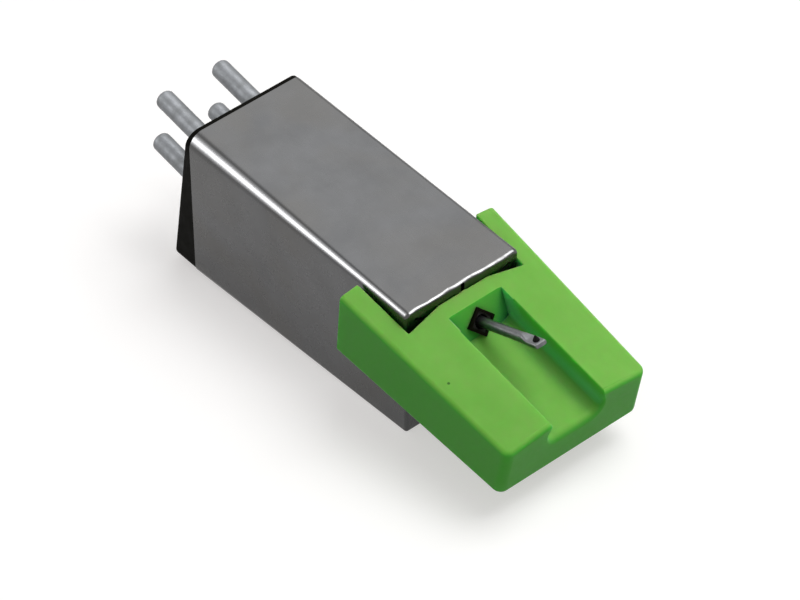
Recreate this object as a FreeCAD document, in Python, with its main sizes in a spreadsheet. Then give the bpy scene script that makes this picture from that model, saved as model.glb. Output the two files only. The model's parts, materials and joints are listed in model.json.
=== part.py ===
import FreeCAD, Part
import math
import os
import Sketcher

# Phono cartridge with a moving magnet, lying on its mounting face with the stylus up.
# World frame: +Z up, -Y towards the stylus, +Y towards the terminal pins.
# Origin: middle of the flat mounting face of the shield can.
# Can frame: origin at the middle of the can's front top edge, tilted by can_taper about X,
# so that "along" runs back along the can's top and "up" leaves it at a right angle.
# Lengths are in millimetres, angles in degrees.

SIZES = {
    # Shield can, folded from one sheet
    "can_width": 8.7,
    "can_base_length": 20.3,
    "can_front_height": 9.8,
    "can_taper": 5.0,
    "can_sheet": 0.35,
    "can_corner": 0.7,
    "can_front_bend": 0.28,
    "window_width": 4.6,
    "window_top": 1.35,
    "window_height": 5.4,
    "lip_slit": 0.14,
    "lip_notch": 0.3,
    # Rear cap and terminal pins
    "cap_flush": 0.04,
    "cap_top_lip": 0.32,
    "cap_tilt": 9.0,
    "cap_plug_depth": 1.5,
    "cap_fit": 0.03,
    "cap_edge": 0.7,
    "pin_diameter": 1.27,
    "pin_shank": 0.85,
    "pin_neck": 0.1,
    "pin_reach": 4.9,
    "pin_tip": 0.42,
    "pin_pitch_across": 4.34,
    "pin_pitch_up": 4.0,
    "pin_centre_depth": 4.45,
    "pin_tail_length": 0.8,
    # Plug tube of the stylus, a square tube standing on its edge
    "tube_side": 1.4,
    "tube_wall": 0.18,
    "tube_tilt": 25.0,
    "tube_entry_depth": 2.78,
    "tube_reach": 1.96,
    "tube_length": 7.6,
    "socket_fit": 0.05,
    # Stylus holder, moulded
    "holder_gap": 0.06,
    "holder_drop": 0.62,
    "holder_tilt": 10.4,
    "holder_front_length": 10.4,
    "holder_front_width": 10.8,
    "holder_rear_width": 11.9,
    "holder_front_height": 4.45,
    "holder_rear_height": 5.38,
    "bank_slope": 8.5,
    "arm_length": 4.17,
    "arm_lean": 5.1,
    "slot_front_width": 8.84,
    "slot_rear_width": 9.1,
    "slot_corner_depth": 0.3,
    "slot_pad_width": 3.95,
    "slot_nub_width": 0.5,
    "slot_nub_gap": 0.01,
    "bridge": 1.06,
    "channel_width": 4.05,
    "channel_rim": 0.25,
    "channel_depth": 1.85,
    "channel_corner": 0.7,
    "channel_wall_lean": 31.0,
    "holder_corner": 0.6,
    "holder_edge": 0.35,
    "channel_edge": 0.2,
    # Cantilever, its rubber and its magnet, placed from the tube's mouth
    "cantilever_diameter": 0.66,
    "cantilever_bore": 0.4,
    "cantilever_reach": 5.65,
    "paddle_length": 1.0,
    "paddle_width": 0.86,
    "paddle_thickness": 0.34,
    "paddle_neck": 0.7,
    "pivot_depth": 1.5,
    "damper_thickness": 0.9,
    "magnet_diameter": 0.6,
    "magnet_length": 2.1,
    "magnet_socket": 0.5,
    "stylus_setback": 0.42,
    "stylus_shank": 0.36,
    "stylus_stand": 0.08,
    "stylus_cone": 0.26,
    "stylus_tip": 0.04,
    # Pole pieces, coils and their carrier inside the can
    "carrier_length": 4.4,
    "carrier_fit": 0.05,
    "pole_diameter": 0.9,
    "pole_offset": 0.96,
    "pole_tip_depth": 3.15,
    "pole_straight": 5.2,
    "pole_knee": 1.2,
    "coil_pitch_across": 4.0,
    "coil_pitch_up": 4.1,
    "coil_centre_depth": 5.4,
    "coil_front": 9.2,
    "coil_rear_room": 4.0,
    "bobbin_core": 1.5,
    "bobbin_flange": 3.7,
    "bobbin_flange_thickness": 0.35,
    "winding_diameter": 3.4,
    "yoke_gap": 0.1,
    "yoke_thickness": 0.5,
    "yoke_width": 1.5,
    "lead_diameter": 0.2,
    "lead_side_offset": 1.3,
    "lead_up_offset": 0.7,
    # How far a cutting outline reaches past the solid
    "cut_margin": 1.0,
}

FULL_TURN = 360
QUARTER_TURN = 90
TIP_FACETS = 2
WIRE_SIDES = 6
ALIGNED = 0.8
NEAR = 1e-3
NEARLY_ROUND = 0.04
MITRED = 1

CORNERS = (("upper_left", -1, 1), ("upper_right", 1, 1), ("lower_left", -1, -1), ("lower_right", 1, -1))


class Dim:
    """A size that carries its number and the sheet formula that it comes from."""

    def __init__(self, value, text):
        self.value = float(value)
        self.text = text

    def __add__(self, other):
        other = dim(other)
        return Dim(self.value + other.value, f"({self.text} + {other.text})")

    def __radd__(self, other):
        return dim(other) + self

    def __sub__(self, other):
        other = dim(other)
        return Dim(self.value - other.value, f"({self.text} - {other.text})")

    def __rsub__(self, other):
        return dim(other) - self

    def __mul__(self, other):
        other = dim(other)
        return Dim(self.value * other.value, f"({self.text} * {other.text})")

    def __rmul__(self, other):
        return dim(other) * self

    def __truediv__(self, other):
        other = dim(other)
        return Dim(self.value / other.value, f"({self.text} / {other.text})")

    def __neg__(self):
        return Dim(-self.value, f"(0 - {self.text})")


def dim(value):
    """Make a plain number into a Dim and leave a Dim alone."""
    if isinstance(value, Dim):
        return value
    return Dim(value, repr(float(value)) if value >= 0 else f"(0 - {abs(float(value))!r})")


def sine(angle):
    return Dim(math.sin(math.radians(angle.value)), f"sin({angle.text})")


def cosine(angle):
    return Dim(math.cos(math.radians(angle.value)), f"cos({angle.text})")


def tangent(angle):
    return Dim(math.tan(math.radians(angle.value)), f"tan({angle.text})")


class Sizes:
    """The sheet's cells as attributes, each one a Dim."""

    def __init__(self, document):
        sheet = document.addObject("Spreadsheet::Sheet", "Sizes")
        for row, (name, value) in enumerate(SIZES.items(), start=1):
            sheet.set(f"A{row}", name)
            sheet.set(f"B{row}", str(value))
            sheet.setAlias(f"B{row}", name)
        document.recompute()
        for name in SIZES:
            setattr(self, name, Dim(getattr(sheet, name), f"Sizes.{name}"))


DOCUMENT = FreeCAD.newDocument("stylus_cartridge")
S = Sizes(DOCUMENT)
SOLIDS = []

# Sizes that follow from the driving ones
CAN_LENGTH = S.can_base_length * cosine(S.can_taper)
CAN_REAR_HEIGHT = S.can_front_height + S.can_base_length * sine(S.can_taper)
CAN_FRONT_Y = -(S.can_base_length / 2) - S.can_front_height * sine(S.can_taper)
CAN_FRONT_Z = S.can_front_height * cosine(S.can_taper)
MOUTH_ALONG = -(S.tube_reach * cosine(S.tube_tilt))
MOUTH_UP = S.tube_reach * sine(S.tube_tilt) - S.tube_entry_depth
COIL_LENGTH = CAN_LENGTH - S.coil_front - S.coil_rear_room
PIVOT_TO_FRONT = S.pivot_depth - S.damper_thickness / 2
PIVOT_TO_REAR = S.pivot_depth + S.damper_thickness / 2


def can_height_at(along):
    """Height of the can, square to its top, at a distance behind its front."""
    return S.can_front_height + along * tangent(S.can_taper)


def tube_point(depth, up=0.0):
    """Place in the can frame of a point on the tube's axis, depth behind its mouth."""
    along = MOUTH_ALONG + depth * cosine(S.tube_tilt) + up * sine(S.tube_tilt)
    height = MOUTH_UP - depth * sine(S.tube_tilt) + up * cosine(S.tube_tilt)
    return along, height


# Placing and finishing pieces


def bind_turn(item, prop, angle):
    """Turn a placement about X by an angle that follows the sheet."""
    axis = FreeCAD.Vector(-1 if angle.value < 0 else 1, 0, 0)
    amount = -angle if angle.value < 0 else angle
    placement = getattr(item, prop)
    placement.Rotation = FreeCAD.Rotation(axis, abs(angle.value))
    setattr(item, prop, placement)
    item.setExpression(f"{prop}.Rotation.Angle", f"{amount.text} * 1 deg")


def place(item, across=0.0, along=0.0, up=0.0, tilt=None):
    """Seat a piece at a point of the can frame, tilted against the can's top."""
    along = dim(along)
    up = dim(up)
    y = CAN_FRONT_Y + along * cosine(S.can_taper) - up * sine(S.can_taper)
    z = CAN_FRONT_Z + along * sine(S.can_taper) + up * cosine(S.can_taper)
    bind_turn(item, "Placement", S.can_taper if tilt is None else S.can_taper + tilt)
    item.setExpression("Placement.Base.x", dim(across).text)
    item.setExpression("Placement.Base.y", y.text)
    item.setExpression("Placement.Base.z", z.text)


def can_frame_placement():
    """The can frame as a plain placement, for pieces swept along a path."""
    turn = FreeCAD.Rotation(FreeCAD.Vector(1, 0, 0), S.can_taper.value)
    return FreeCAD.Placement(FreeCAD.Vector(0, CAN_FRONT_Y.value, CAN_FRONT_Z.value), turn)


def new_body(name):
    body = DOCUMENT.addObject("PartDesign::Body", name)
    body.Label = name
    SOLIDS.append(body)
    return body


def new_feature(name, shape):
    """A piece with a free-form path, seated in the can frame."""
    feature = DOCUMENT.addObject("Part::Feature", name)
    feature.Label = name
    feature.Shape = shape
    feature.Placement = can_frame_placement()
    SOLIDS.append(feature)
    return feature


# Sketches


def new_sketch(body, name, plane, shift=(0.0, 0.0, 0.0), turn=None):
    """A sketch on one of the body's own origin planes, moved and turned about X."""
    sketch = body.newObject("Sketcher::SketchObject", name)
    support = next(item for item in body.Origin.OriginFeatures if item.Role == plane)
    sketch.AttachmentSupport = [(support, "")]
    sketch.MapMode = "FlatFace"
    if turn is not None:
        bind_turn(sketch, "AttachmentOffset", turn)
    for axis, value in zip("xyz", shift):
        if isinstance(value, Dim):
            sketch.setExpression(f"AttachmentOffset.Base.{axis}", value.text)
    return sketch


def bind_coordinate(sketch, kind, geometry, end, value):
    """Fix one coordinate of a point from the sketch's origin."""
    if value.value == 0:
        sketch.addConstraint(Sketcher.Constraint("PointOnObject", geometry, end, -2 if kind == "DistanceX" else -1))
        return
    if value.value > 0:
        index = sketch.addConstraint(Sketcher.Constraint(kind, -1, 1, geometry, end, value.value))
        sketch.setExpression(f"Constraints[{index}]", value.text)
    else:
        index = sketch.addConstraint(Sketcher.Constraint(kind, geometry, end, -1, 1, -value.value))
        sketch.setExpression(f"Constraints[{index}]", (-value).text)


def draw_outline(sketch, points):
    """A closed outline of straight lines through points of Dims."""
    points = [(dim(x), dim(y)) for x, y in points]
    first = sketch.GeometryCount
    for start, end in zip(points, points[1:] + points[:1]):
        line = Part.LineSegment(
            FreeCAD.Vector(start[0].value, start[1].value, 0),
            FreeCAD.Vector(end[0].value, end[1].value, 0),
        )
        sketch.addGeometry(line, False)
    count = len(points)
    for step in range(count):
        following = first + (step + 1) % count
        sketch.addConstraint(Sketcher.Constraint("Coincident", first + step, 2, following, 1))
    for step, (x, y) in enumerate(points):
        bind_coordinate(sketch, "DistanceX", first + step, 1, x)
        bind_coordinate(sketch, "DistanceY", first + step, 1, y)


def draw_circle(sketch, diameter, across=0.0, up=0.0):
    across = dim(across)
    up = dim(up)
    index = sketch.GeometryCount
    centre = FreeCAD.Vector(across.value, up.value, 0)
    sketch.addGeometry(Part.Circle(centre, FreeCAD.Vector(0, 0, 1), diameter.value / 2), False)
    constraint = sketch.addConstraint(Sketcher.Constraint("Diameter", index, diameter.value))
    sketch.setExpression(f"Constraints[{constraint}]", diameter.text)
    bind_coordinate(sketch, "DistanceX", index, 3, across)
    bind_coordinate(sketch, "DistanceY", index, 3, up)


def draw_rounded_box(sketch, half_width, low, high, radius):
    """A box symmetric about the upright axis, with its four corners rounded."""
    w, lo, hi, r = half_width.value, low.value, high.value, radius.value
    centres = ((w - r, hi - r), (r - w, hi - r), (r - w, lo + r), (w - r, lo + r))
    normal = FreeCAD.Vector(0, 0, 1)
    for step, (cx, cy) in enumerate(centres):
        circle = Part.Circle(FreeCAD.Vector(cx, cy, 0), normal, r)
        sketch.addGeometry(Part.ArcOfCircle(circle, step * math.pi / 2, (step + 1) * math.pi / 2), False)
    ends = (
        ((w - r, hi), (r - w, hi)),
        ((-w, hi - r), (-w, lo + r)),
        ((r - w, lo), (w - r, lo)),
        ((w, lo + r), (w, hi - r)),
    )
    for start, end in ends:
        sketch.addGeometry(Part.LineSegment(FreeCAD.Vector(*start, 0), FreeCAD.Vector(*end, 0)), False)
    for step in range(4):
        arc = step
        line = 4 + step
        following = (step + 1) % 4
        sketch.addConstraint(Sketcher.Constraint("Tangent", arc, 2, line, 1))
        sketch.addConstraint(Sketcher.Constraint("Tangent", line, 2, following, 1))
    for arc in range(1, 4):
        sketch.addConstraint(Sketcher.Constraint("Equal", 0, arc))
    sketch.addConstraint(Sketcher.Constraint("Horizontal", 4))
    sketch.addConstraint(Sketcher.Constraint("Vertical", 5))
    index = sketch.addConstraint(Sketcher.Constraint("Radius", 0, r))
    sketch.setExpression(f"Constraints[{index}]", radius.text)
    bind_coordinate(sketch, "DistanceY", 4, 1, high)
    bind_coordinate(sketch, "DistanceX", 5, 1, -half_width)
    bind_coordinate(sketch, "DistanceY", 6, 1, low)
    bind_coordinate(sketch, "DistanceX", 7, 1, half_width)


def draw_bent_outline(sketch, points, bends):
    """A closed outline whose numbered steps are quarter arcs about a centre, and the rest lines."""
    count = len(points)
    for step, start in enumerate(points):
        add_step(sketch, start, points[(step + 1) % count], bends.get(step))
    geometry = sketch.Geometry
    for step in range(count):
        following = (step + 1) % count
        tail = end_near(geometry[step], points[following])
        head = end_near(geometry[following], points[following])
        sketch.addConstraint(Sketcher.Constraint("Coincident", step, tail, following, head))
    for step, start in enumerate(points):
        head = end_near(geometry[step], start)
        bind_coordinate(sketch, "DistanceX", step, head, start[0])
        bind_coordinate(sketch, "DistanceY", step, head, start[1])
    for step, centre in bends.items():
        bind_coordinate(sketch, "DistanceX", step, 3, centre[0])


def add_step(sketch, start, end, centre):
    """One step of an outline: a quarter arc if it has a centre, or else a line."""
    begin = FreeCAD.Vector(start[0].value, start[1].value, 0)
    finish = FreeCAD.Vector(end[0].value, end[1].value, 0)
    if centre is None:
        sketch.addGeometry(Part.LineSegment(begin, finish), False)
        return
    middle = FreeCAD.Vector(centre[0].value, centre[1].value, 0)
    sketch.addGeometry(quarter_arc(begin, finish, middle), False)


def quarter_arc(begin, finish, centre):
    """The quarter of a circle between two points, turning anticlockwise as a sketch wants it."""
    if (begin - centre).cross(finish - centre).z < 0:
        begin, finish = finish, begin
    radius = (begin - centre).Length
    outward = (begin - centre) + (finish - centre)
    return Part.Arc(begin, centre + outward.normalize() * radius, finish)


def end_near(geometry, point):
    """Number of the end of a line or an arc that lies at a point."""
    target = FreeCAD.Vector(point[0].value, point[1].value, 0)
    return 1 if (geometry.StartPoint - target).Length < NEAR else 2


def square(half_side):
    return (
        (half_side, half_side),
        (-half_side, half_side),
        (-half_side, -half_side),
        (half_side, -half_side),
    )


def diamond(half_side):
    """Corners of a square standing on its edge, from half its side."""
    reach = half_side * math.sqrt(2)
    return ((reach, 0.0), (0.0, reach), (-reach, 0.0), (0.0, -reach))


# Features


def pad(body, name, sketch, length, reverse=False, midplane=False):
    feature = body.newObject("PartDesign::Pad", name)
    feature.Profile = sketch
    feature.setExpression("Length", length.text)
    feature.Reversed = reverse
    feature.Midplane = midplane
    DOCUMENT.recompute()


def pocket(body, name, sketch, length=None, midplane=False):
    """Cut a sketch into the solid, right through it if no length is given."""
    before = body.Shape.Volume
    feature = body.newObject("PartDesign::Pocket", name)
    feature.Profile = sketch
    if length is None:
        feature.Type = "ThroughAll"
        feature.Midplane = True
    else:
        feature.setExpression("Length", length.text)
        feature.Midplane = midplane
    DOCUMENT.recompute()
    if body.Shape.Volume >= before:
        raise ValueError(f"{name} cuts nothing from {body.Label}")


def revolve(body, name, sketch):
    """Turn a sketch about the body's own Y axis."""
    feature = body.newObject("PartDesign::Revolution", name)
    feature.Profile = sketch
    axis = next(item for item in body.Origin.OriginFeatures if item.Role == "Y_Axis")
    feature.ReferenceAxis = (axis, [""])
    feature.Angle = FULL_TURN
    DOCUMENT.recompute()


def round_edges(body, name, radius, wanted):
    """Round the edges that a test picks by their middle point and direction."""
    base = body.Tip
    names = [
        f"Edge{number}"
        for number, edge in enumerate(base.Shape.Edges, start=1)
        if wanted(edge_middle(edge), edge)
    ]
    feature = body.newObject("PartDesign::Fillet", name)
    feature.Base = (base, names)
    feature.setExpression("Radius", radius.text)
    DOCUMENT.recompute()


def edge_middle(edge):
    return edge.valueAt((edge.FirstParameter + edge.LastParameter) / 2)


def edge_direction(edge):
    ends = edge.valueAt(edge.LastParameter) - edge.valueAt(edge.FirstParameter)
    return ends.normalize() if ends.Length > NEAR else ends


# The casing


def can_section(body, name, along, inset):
    """Rounded cross-section of the can, square to its top, inset from its outer skin."""
    sketch = new_sketch(body, name, "XZ_Plane", (0.0, 0.0, -along))
    height = can_height_at(along)
    draw_rounded_box(sketch, S.can_width / 2 - inset, inset - height, -inset, S.can_corner - inset)
    return sketch


def draw_can_side(sketch, start, end, inset):
    """Side outline of the can between two distances behind its front, inset from its skin."""
    rise = inset / cosine(S.can_taper)
    draw_outline(
        sketch,
        (
            (start, -inset),
            (end, -inset),
            (end, rise - can_height_at(end)),
            (start, rise - can_height_at(start)),
        ),
    )


def runs_along(middle, edge):
    """Edges that run from front to rear."""
    return abs(edge_direction(edge).y) > ALIGNED


def build_shield_can():
    """Tapered sheet can: open at the rear, closed at the front by four turned-in lips."""
    body = new_body("shield_can")
    skin = new_sketch(body, "can_side", "YZ_Plane")
    draw_can_side(skin, dim(0.0), CAN_LENGTH, dim(0.0))
    pad(body, "can_skin", skin, S.can_width, midplane=True)
    round_edges(body, "can_corner_round", S.can_corner, runs_along)
    round_edges(body, "can_front_round", S.can_front_bend, lambda middle, edge: abs(middle.y) < NEAR)
    hollow = new_sketch(body, "can_inner_side", "YZ_Plane")
    draw_can_side(hollow, S.can_sheet, CAN_LENGTH + S.cut_margin, S.can_sheet)
    pocket(body, "can_hollow", hollow, S.can_width - S.can_sheet * 2, midplane=True)
    round_edges(body, "can_inner_round", S.can_corner - S.can_sheet, is_can_inner_edge)
    cut_lips(body)
    place(body)


def is_can_inner_edge(middle, edge):
    """The four long edges of the hollow."""
    wall = S.can_width.value / 2 - S.can_sheet.value
    return abs(abs(middle.x) - wall) < NEAR and runs_along(middle, edge)


def cut_lips(body):
    """Window in the front, with the slits that part the lips and the notch in the top one."""
    side = S.window_width / 2
    top = -S.window_top
    low = top - S.window_height
    depth = S.can_sheet + S.cut_margin
    window = new_sketch(body, "lip_window", "XZ_Plane")
    draw_outline(window, ((-side, low), (side, low), (side, top), (-side, top)))
    pocket(body, "lip_window_cut", window, depth)
    reach = S.can_corner
    corner_side = S.can_width / 2 - reach
    corner_low = reach - S.can_front_height
    half = S.lip_slit / 2
    slits = new_sketch(body, "lip_slits", "XZ_Plane")
    for sign in (-1, 1):
        draw_slit(slits, sign * (side - half), top - half, sign * corner_side, -reach, half, sign)
        draw_slit(slits, sign * (side - half), low + half, sign * corner_side, corner_low, half, -sign)
    pocket(body, "lip_slit_cut", slits, depth)
    notch = new_sketch(body, "lip_notch_sketch", "XZ_Plane")
    edge = S.lip_notch / 2
    draw_outline(
        notch,
        ((-edge, top - edge), (edge, top - edge), (edge, -S.can_sheet), (-edge, -S.can_sheet)),
    )
    pocket(body, "lip_notch_cut", notch, depth)


def draw_slit(sketch, inner_x, inner_y, outer_x, outer_y, half, sign):
    """A thin slanted cut between two points, half its width to each side."""
    draw_outline(
        sketch,
        (
            (inner_x - half * sign, inner_y + half),
            (inner_x + half * sign, inner_y - half),
            (outer_x + half * sign, outer_y - half),
            (outer_x - half * sign, outer_y + half),
        ),
    )


def cap_face_along(up):
    """Where the cap's rear face lies behind the can's front, at a height in the can frame."""
    return CAN_LENGTH + S.cap_top_lip - up * tangent(S.cap_tilt)


def build_rear_cap():
    """Moulded terminal block: a wedge outside the rim and a plug inside it."""
    body = new_body("rear_cap")
    outer = can_section(body, "cap_outline", CAN_LENGTH, S.cap_flush)
    thickest = cap_face_along(-CAN_REAR_HEIGHT) - CAN_LENGTH + S.cut_margin
    pad(body, "cap_block", outer, thickest, reverse=True)
    trim = new_sketch(body, "cap_trim", "YZ_Plane")
    top = S.cut_margin
    low = -CAN_REAR_HEIGHT - S.cut_margin
    back = CAN_LENGTH + thickest + S.cut_margin
    draw_outline(trim, ((cap_face_along(top), top), (back, top), (back, low), (cap_face_along(low), low)))
    pocket(body, "cap_trim_cut", trim)
    round_edges(body, "cap_edge_round", S.cap_edge, is_cap_low_edge)
    plug = can_section(body, "cap_plug_outline", CAN_LENGTH - S.cap_plug_depth, S.can_sheet + S.cap_fit)
    pad(body, "cap_plug", plug, S.cap_plug_depth, reverse=True)
    for name, across, up in pin_centres():
        cut_pin_bore(body, name, across, up)
    place(body)


def is_cap_low_edge(middle, edge):
    """The long lower edge of the cap's rear face."""
    low = -CAN_REAR_HEIGHT.value + S.cap_edge.value
    back = cap_face_along(-CAN_REAR_HEIGHT).value - S.cap_edge.value
    return middle.z < low and middle.y > back and abs(edge_direction(edge).x) > ALIGNED


def pin_centres():
    """Name and place on the cap's rear face of each terminal pin."""
    for name, side, level in CORNERS:
        across = S.pin_pitch_across / 2 * side
        down = S.pin_centre_depth - S.pin_pitch_up / 2 * level
        yield name, across, -(down * cosine(S.cap_tilt))


def cut_pin_bore(body, name, across, up):
    """A square hole through the cap, as wide as the shank that is moulded into it."""
    shift = (across, up, -cap_face_along(up))
    sketch = new_sketch(body, f"bore_{name}", "XZ_Plane", shift, S.cap_tilt)
    draw_outline(sketch, square(S.pin_shank / 2))
    pocket(body, f"bore_{name}_cut", sketch)


def build_pin(name, across, up):
    """Terminal pin: a turned, round-ended post on a square shank that runs through the cap."""
    body = new_body(f"terminal_pin_{name}")
    post = new_sketch(body, f"pin_{name}_profile", "XY_Plane")
    radius = S.pin_diameter / 2
    draw_outline(
        post,
        (
            (0.0, S.pin_neck),
            (radius, S.pin_neck),
            *round_tip(radius, S.pin_reach, S.pin_tip),
            (0.0, S.pin_reach),
        ),
    )
    revolve(body, f"pin_{name}_turning", post)
    shank = new_sketch(body, f"pin_{name}_section", "XZ_Plane", (0.0, 0.0, -S.pin_neck))
    draw_outline(shank, square(S.pin_shank / 2))
    pad(body, f"pin_{name}_shank", shank, S.pin_neck + shank_depth(up))
    place(body, across, cap_face_along(up), up, S.cap_tilt)


def shank_depth(up):
    """How far a pin's shank reaches in from the cap's rear face, with the tail inside the can."""
    through = cap_face_along(up) - CAN_LENGTH + S.cap_plug_depth
    return through / cosine(S.cap_tilt) + S.pin_tail_length


def round_tip(radius, reach, tip):
    """Profile points of a rounded end, in small turned facets."""
    points = []
    for step in range(TIP_FACETS + 1):
        angle = dim(step * QUARTER_TURN / TIP_FACETS)
        points.append((radius - tip + tip * cosine(angle), reach - tip + tip * sine(angle)))
    return points


# The stylus unit


def can_to_holder(along, up):
    """A point of the can frame in the holder frame."""
    shifted_along = along + S.holder_gap
    shifted_up = up + S.holder_drop
    holder_along = shifted_along * cosine(S.holder_tilt) + shifted_up * sine(S.holder_tilt)
    holder_up = shifted_up * cosine(S.holder_tilt) - shifted_along * sine(S.holder_tilt)
    return holder_along, holder_up


def build_stylus_holder():
    """Moulded wedge that hugs the can's front and carries the plug tube and the channel."""
    body = new_body("stylus_holder")
    front = -S.holder_front_length
    rear = S.arm_length + tangent(S.arm_lean) * S.cut_margin
    section = new_sketch(body, "holder_section", "XZ_Plane", (0.0, 0.0, -rear))
    draw_holder_section(section)
    pad(body, "holder_block", section, rear - front)
    cut_holder_sides(body, front, rear)
    cut_holder_underside(body, front)
    cut_channel(body)
    cut_slot(body)
    round_edges(body, "holder_corner_round", S.holder_corner, is_front_corner)
    round_edges(body, "holder_top_round", S.holder_edge, is_upper_edge)
    round_edges(body, "holder_low_round", S.holder_edge, is_lower_edge)
    cut_tube_bore(body)
    place(body, 0.0, -S.holder_gap, -S.holder_drop, S.holder_tilt)


def beside_channel(middle):
    return abs(middle.x) > S.channel_width.value / 2 + S.channel_edge.value + NEAR


def at_front(middle):
    return middle.y < S.holder_edge.value - S.holder_front_length.value


def is_front_corner(middle, edge):
    """The two upright edges at the stylus end."""
    return at_front(middle) and beside_channel(middle) and abs(edge_direction(edge).z) > ALIGNED


def is_outer_edge(middle, edge):
    """Long outer edges of the flanks, and the level edges at the stylus end."""
    outside = (S.slot_rear_width.value + S.holder_rear_width.value) / 4
    flank = abs(middle.x) > outside and abs(edge_direction(edge).y) > ALIGNED
    return flank or (at_front(middle) and abs(edge_direction(edge).z) < ALIGNED)


def is_upper_edge(middle, edge):
    high = middle.z > -S.channel_depth.value
    return high and beside_channel(middle) and is_outer_edge(middle, edge)


def is_lower_edge(middle, edge):
    low = middle.z < -S.channel_depth.value - NEAR
    return low and is_outer_edge(middle, edge)


def draw_holder_section(sketch):
    """Flat on top, with banks that fall away to both sides from within the channel's width."""
    flat = S.channel_width / 2 - S.channel_rim
    half = S.holder_rear_width / 2
    shoulder = (flat - half) * tangent(S.bank_slope)
    low = -S.holder_rear_height - S.cut_margin
    draw_outline(
        sketch,
        ((-half, low), (half, low), (half, shoulder), (flat, 0.0), (-flat, 0.0), (-half, shoulder)),
    )


def cut_holder_sides(body, front, rear):
    """Both flanks taper towards the stylus."""
    sketch = new_sketch(body, "holder_plan", "XY_Plane")
    front_half = S.holder_front_width / 2
    rear_half = S.holder_rear_width / 2
    outside = rear_half + S.cut_margin * 2
    slope = (rear_half - front_half) / (S.arm_length - front)
    far = rear + S.cut_margin
    near = front - S.cut_margin
    near_half = front_half - slope * S.cut_margin
    far_half = rear_half + slope * (far - S.arm_length)
    for side in (-1, 1):
        draw_outline(
            sketch,
            (
                (near_half * side, near),
                (far_half * side, far),
                (outside * side, far),
                (outside * side, near),
            ),
        )
    pocket(body, "holder_plan_cut", sketch)


def cut_holder_underside(body, front):
    """Sloping underside and the leaning rear ends of the arms."""
    sketch = new_sketch(body, "holder_side", "YZ_Plane")
    beyond = S.cut_margin
    rear_low = S.arm_length - S.holder_rear_height * tangent(S.arm_lean)
    slope = (S.holder_rear_height - S.holder_front_height) / (rear_low - front)
    front_end = front - beyond
    front_low = slope * beyond - S.holder_front_height
    arm_top = S.arm_length + tangent(S.arm_lean) * beyond
    rear_end = arm_top + beyond
    lowest = -S.holder_rear_height - beyond * 2
    draw_outline(
        sketch,
        (
            (front_end, front_low),
            (rear_low, -S.holder_rear_height),
            (arm_top, beyond),
            (rear_end, beyond),
            (rear_end, lowest),
            (front_end, lowest),
        ),
    )
    pocket(body, "holder_side_cut", sketch)


def cut_slot(body):
    """Slot for the can, square to the can's top, with a pad and a nub on its front wall."""
    sketch = new_sketch(body, "slot_plan", "XY_Plane", turn=-S.holder_tilt)
    corner = S.slot_front_width / 2
    pad_half = S.slot_pad_width / 2
    nub = S.slot_nub_width / 2
    deep = -S.slot_corner_depth
    nub_reach = S.holder_gap - S.slot_nub_gap
    open_end = S.arm_length + S.cut_margin * 2
    flare = (S.slot_rear_width - S.slot_front_width) / 2
    rear = corner + flare * (open_end + S.slot_corner_depth) / (S.arm_length + S.slot_corner_depth)
    draw_outline(
        sketch,
        (
            (-rear, open_end),
            (-corner, deep),
            (-pad_half, 0.0),
            (-nub, 0.0),
            (-nub, nub_reach),
            (nub, nub_reach),
            (nub, 0.0),
            (pad_half, 0.0),
            (corner, deep),
            (rear, open_end),
        ),
    )
    pocket(body, "slot_cut", sketch)


def cut_channel(body):
    """Channel for the cantilever: open to the front, with round lower corners and a leaning rear wall."""
    lean = tangent(S.channel_wall_lean)
    rear = -S.bridge
    floor_rear = rear - S.channel_depth * lean
    start = -S.holder_front_length - S.cut_margin
    section = new_sketch(body, "channel_section", "XZ_Plane", (0.0, 0.0, -start))
    draw_channel_section(section)
    pocket(body, "channel_cut", section, floor_rear - start)
    wedge = new_sketch(body, "channel_rear", "YZ_Plane")
    beyond = S.cut_margin
    draw_outline(
        wedge,
        ((rear + lean * beyond, beyond), (floor_rear, -S.channel_depth), (floor_rear, beyond)),
    )
    pocket(body, "channel_rear_cut", wedge, S.channel_width, midplane=True)


def draw_channel_section(sketch):
    """The channel's walls and floor, joined by round corners, with rounded upper edges."""
    half = S.channel_width / 2
    rim = half + S.channel_edge
    low = -S.channel_depth
    points = (
        (-rim, S.cut_margin),
        (-rim, dim(0.0)),
        (-half, -S.channel_edge),
        (-half, low + S.channel_corner),
        (S.channel_corner - half, low),
        (half - S.channel_corner, low),
        (half, low + S.channel_corner),
        (half, -S.channel_edge),
        (rim, dim(0.0)),
        (rim, S.cut_margin),
    )
    inner = S.channel_corner
    bends = {
        1: (-rim, -S.channel_edge),
        3: (inner - half, low + inner),
        5: (half - inner, low + inner),
        7: (rim, -S.channel_edge),
    }
    draw_bent_outline(sketch, points, bends)


def cut_tube_bore(body):
    """Square bore on its edge through the bridge, in line with the plug tube."""
    along, up = can_to_holder(MOUTH_ALONG, MOUTH_UP)
    tilt = S.tube_tilt + S.holder_tilt
    sketch = new_sketch(body, "tube_bore", "XZ_Plane", (0.0, up, -along), -tilt)
    draw_outline(sketch, diamond(S.tube_side / 2))
    pocket(body, "tube_bore_cut", sketch, (S.bridge + S.tube_side) * 2, midplane=True)


def build_plug_tube():
    """Square tube, standing on its edge, that plugs into the can and holds the rubber."""
    body = new_body("plug_tube")
    sketch = new_sketch(body, "tube_section", "XZ_Plane")
    draw_outline(sketch, diamond(S.tube_side / 2))
    draw_outline(sketch, diamond(S.tube_side / 2 - S.tube_wall))
    pad(body, "tube_wall_pad", sketch, S.tube_length, reverse=True)
    place(body, 0.0, MOUTH_ALONG, MOUTH_UP, -S.tube_tilt)


def place_on_tube(body, depth):
    along, up = tube_point(depth)
    place(body, 0.0, along, up, -S.tube_tilt)


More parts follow.
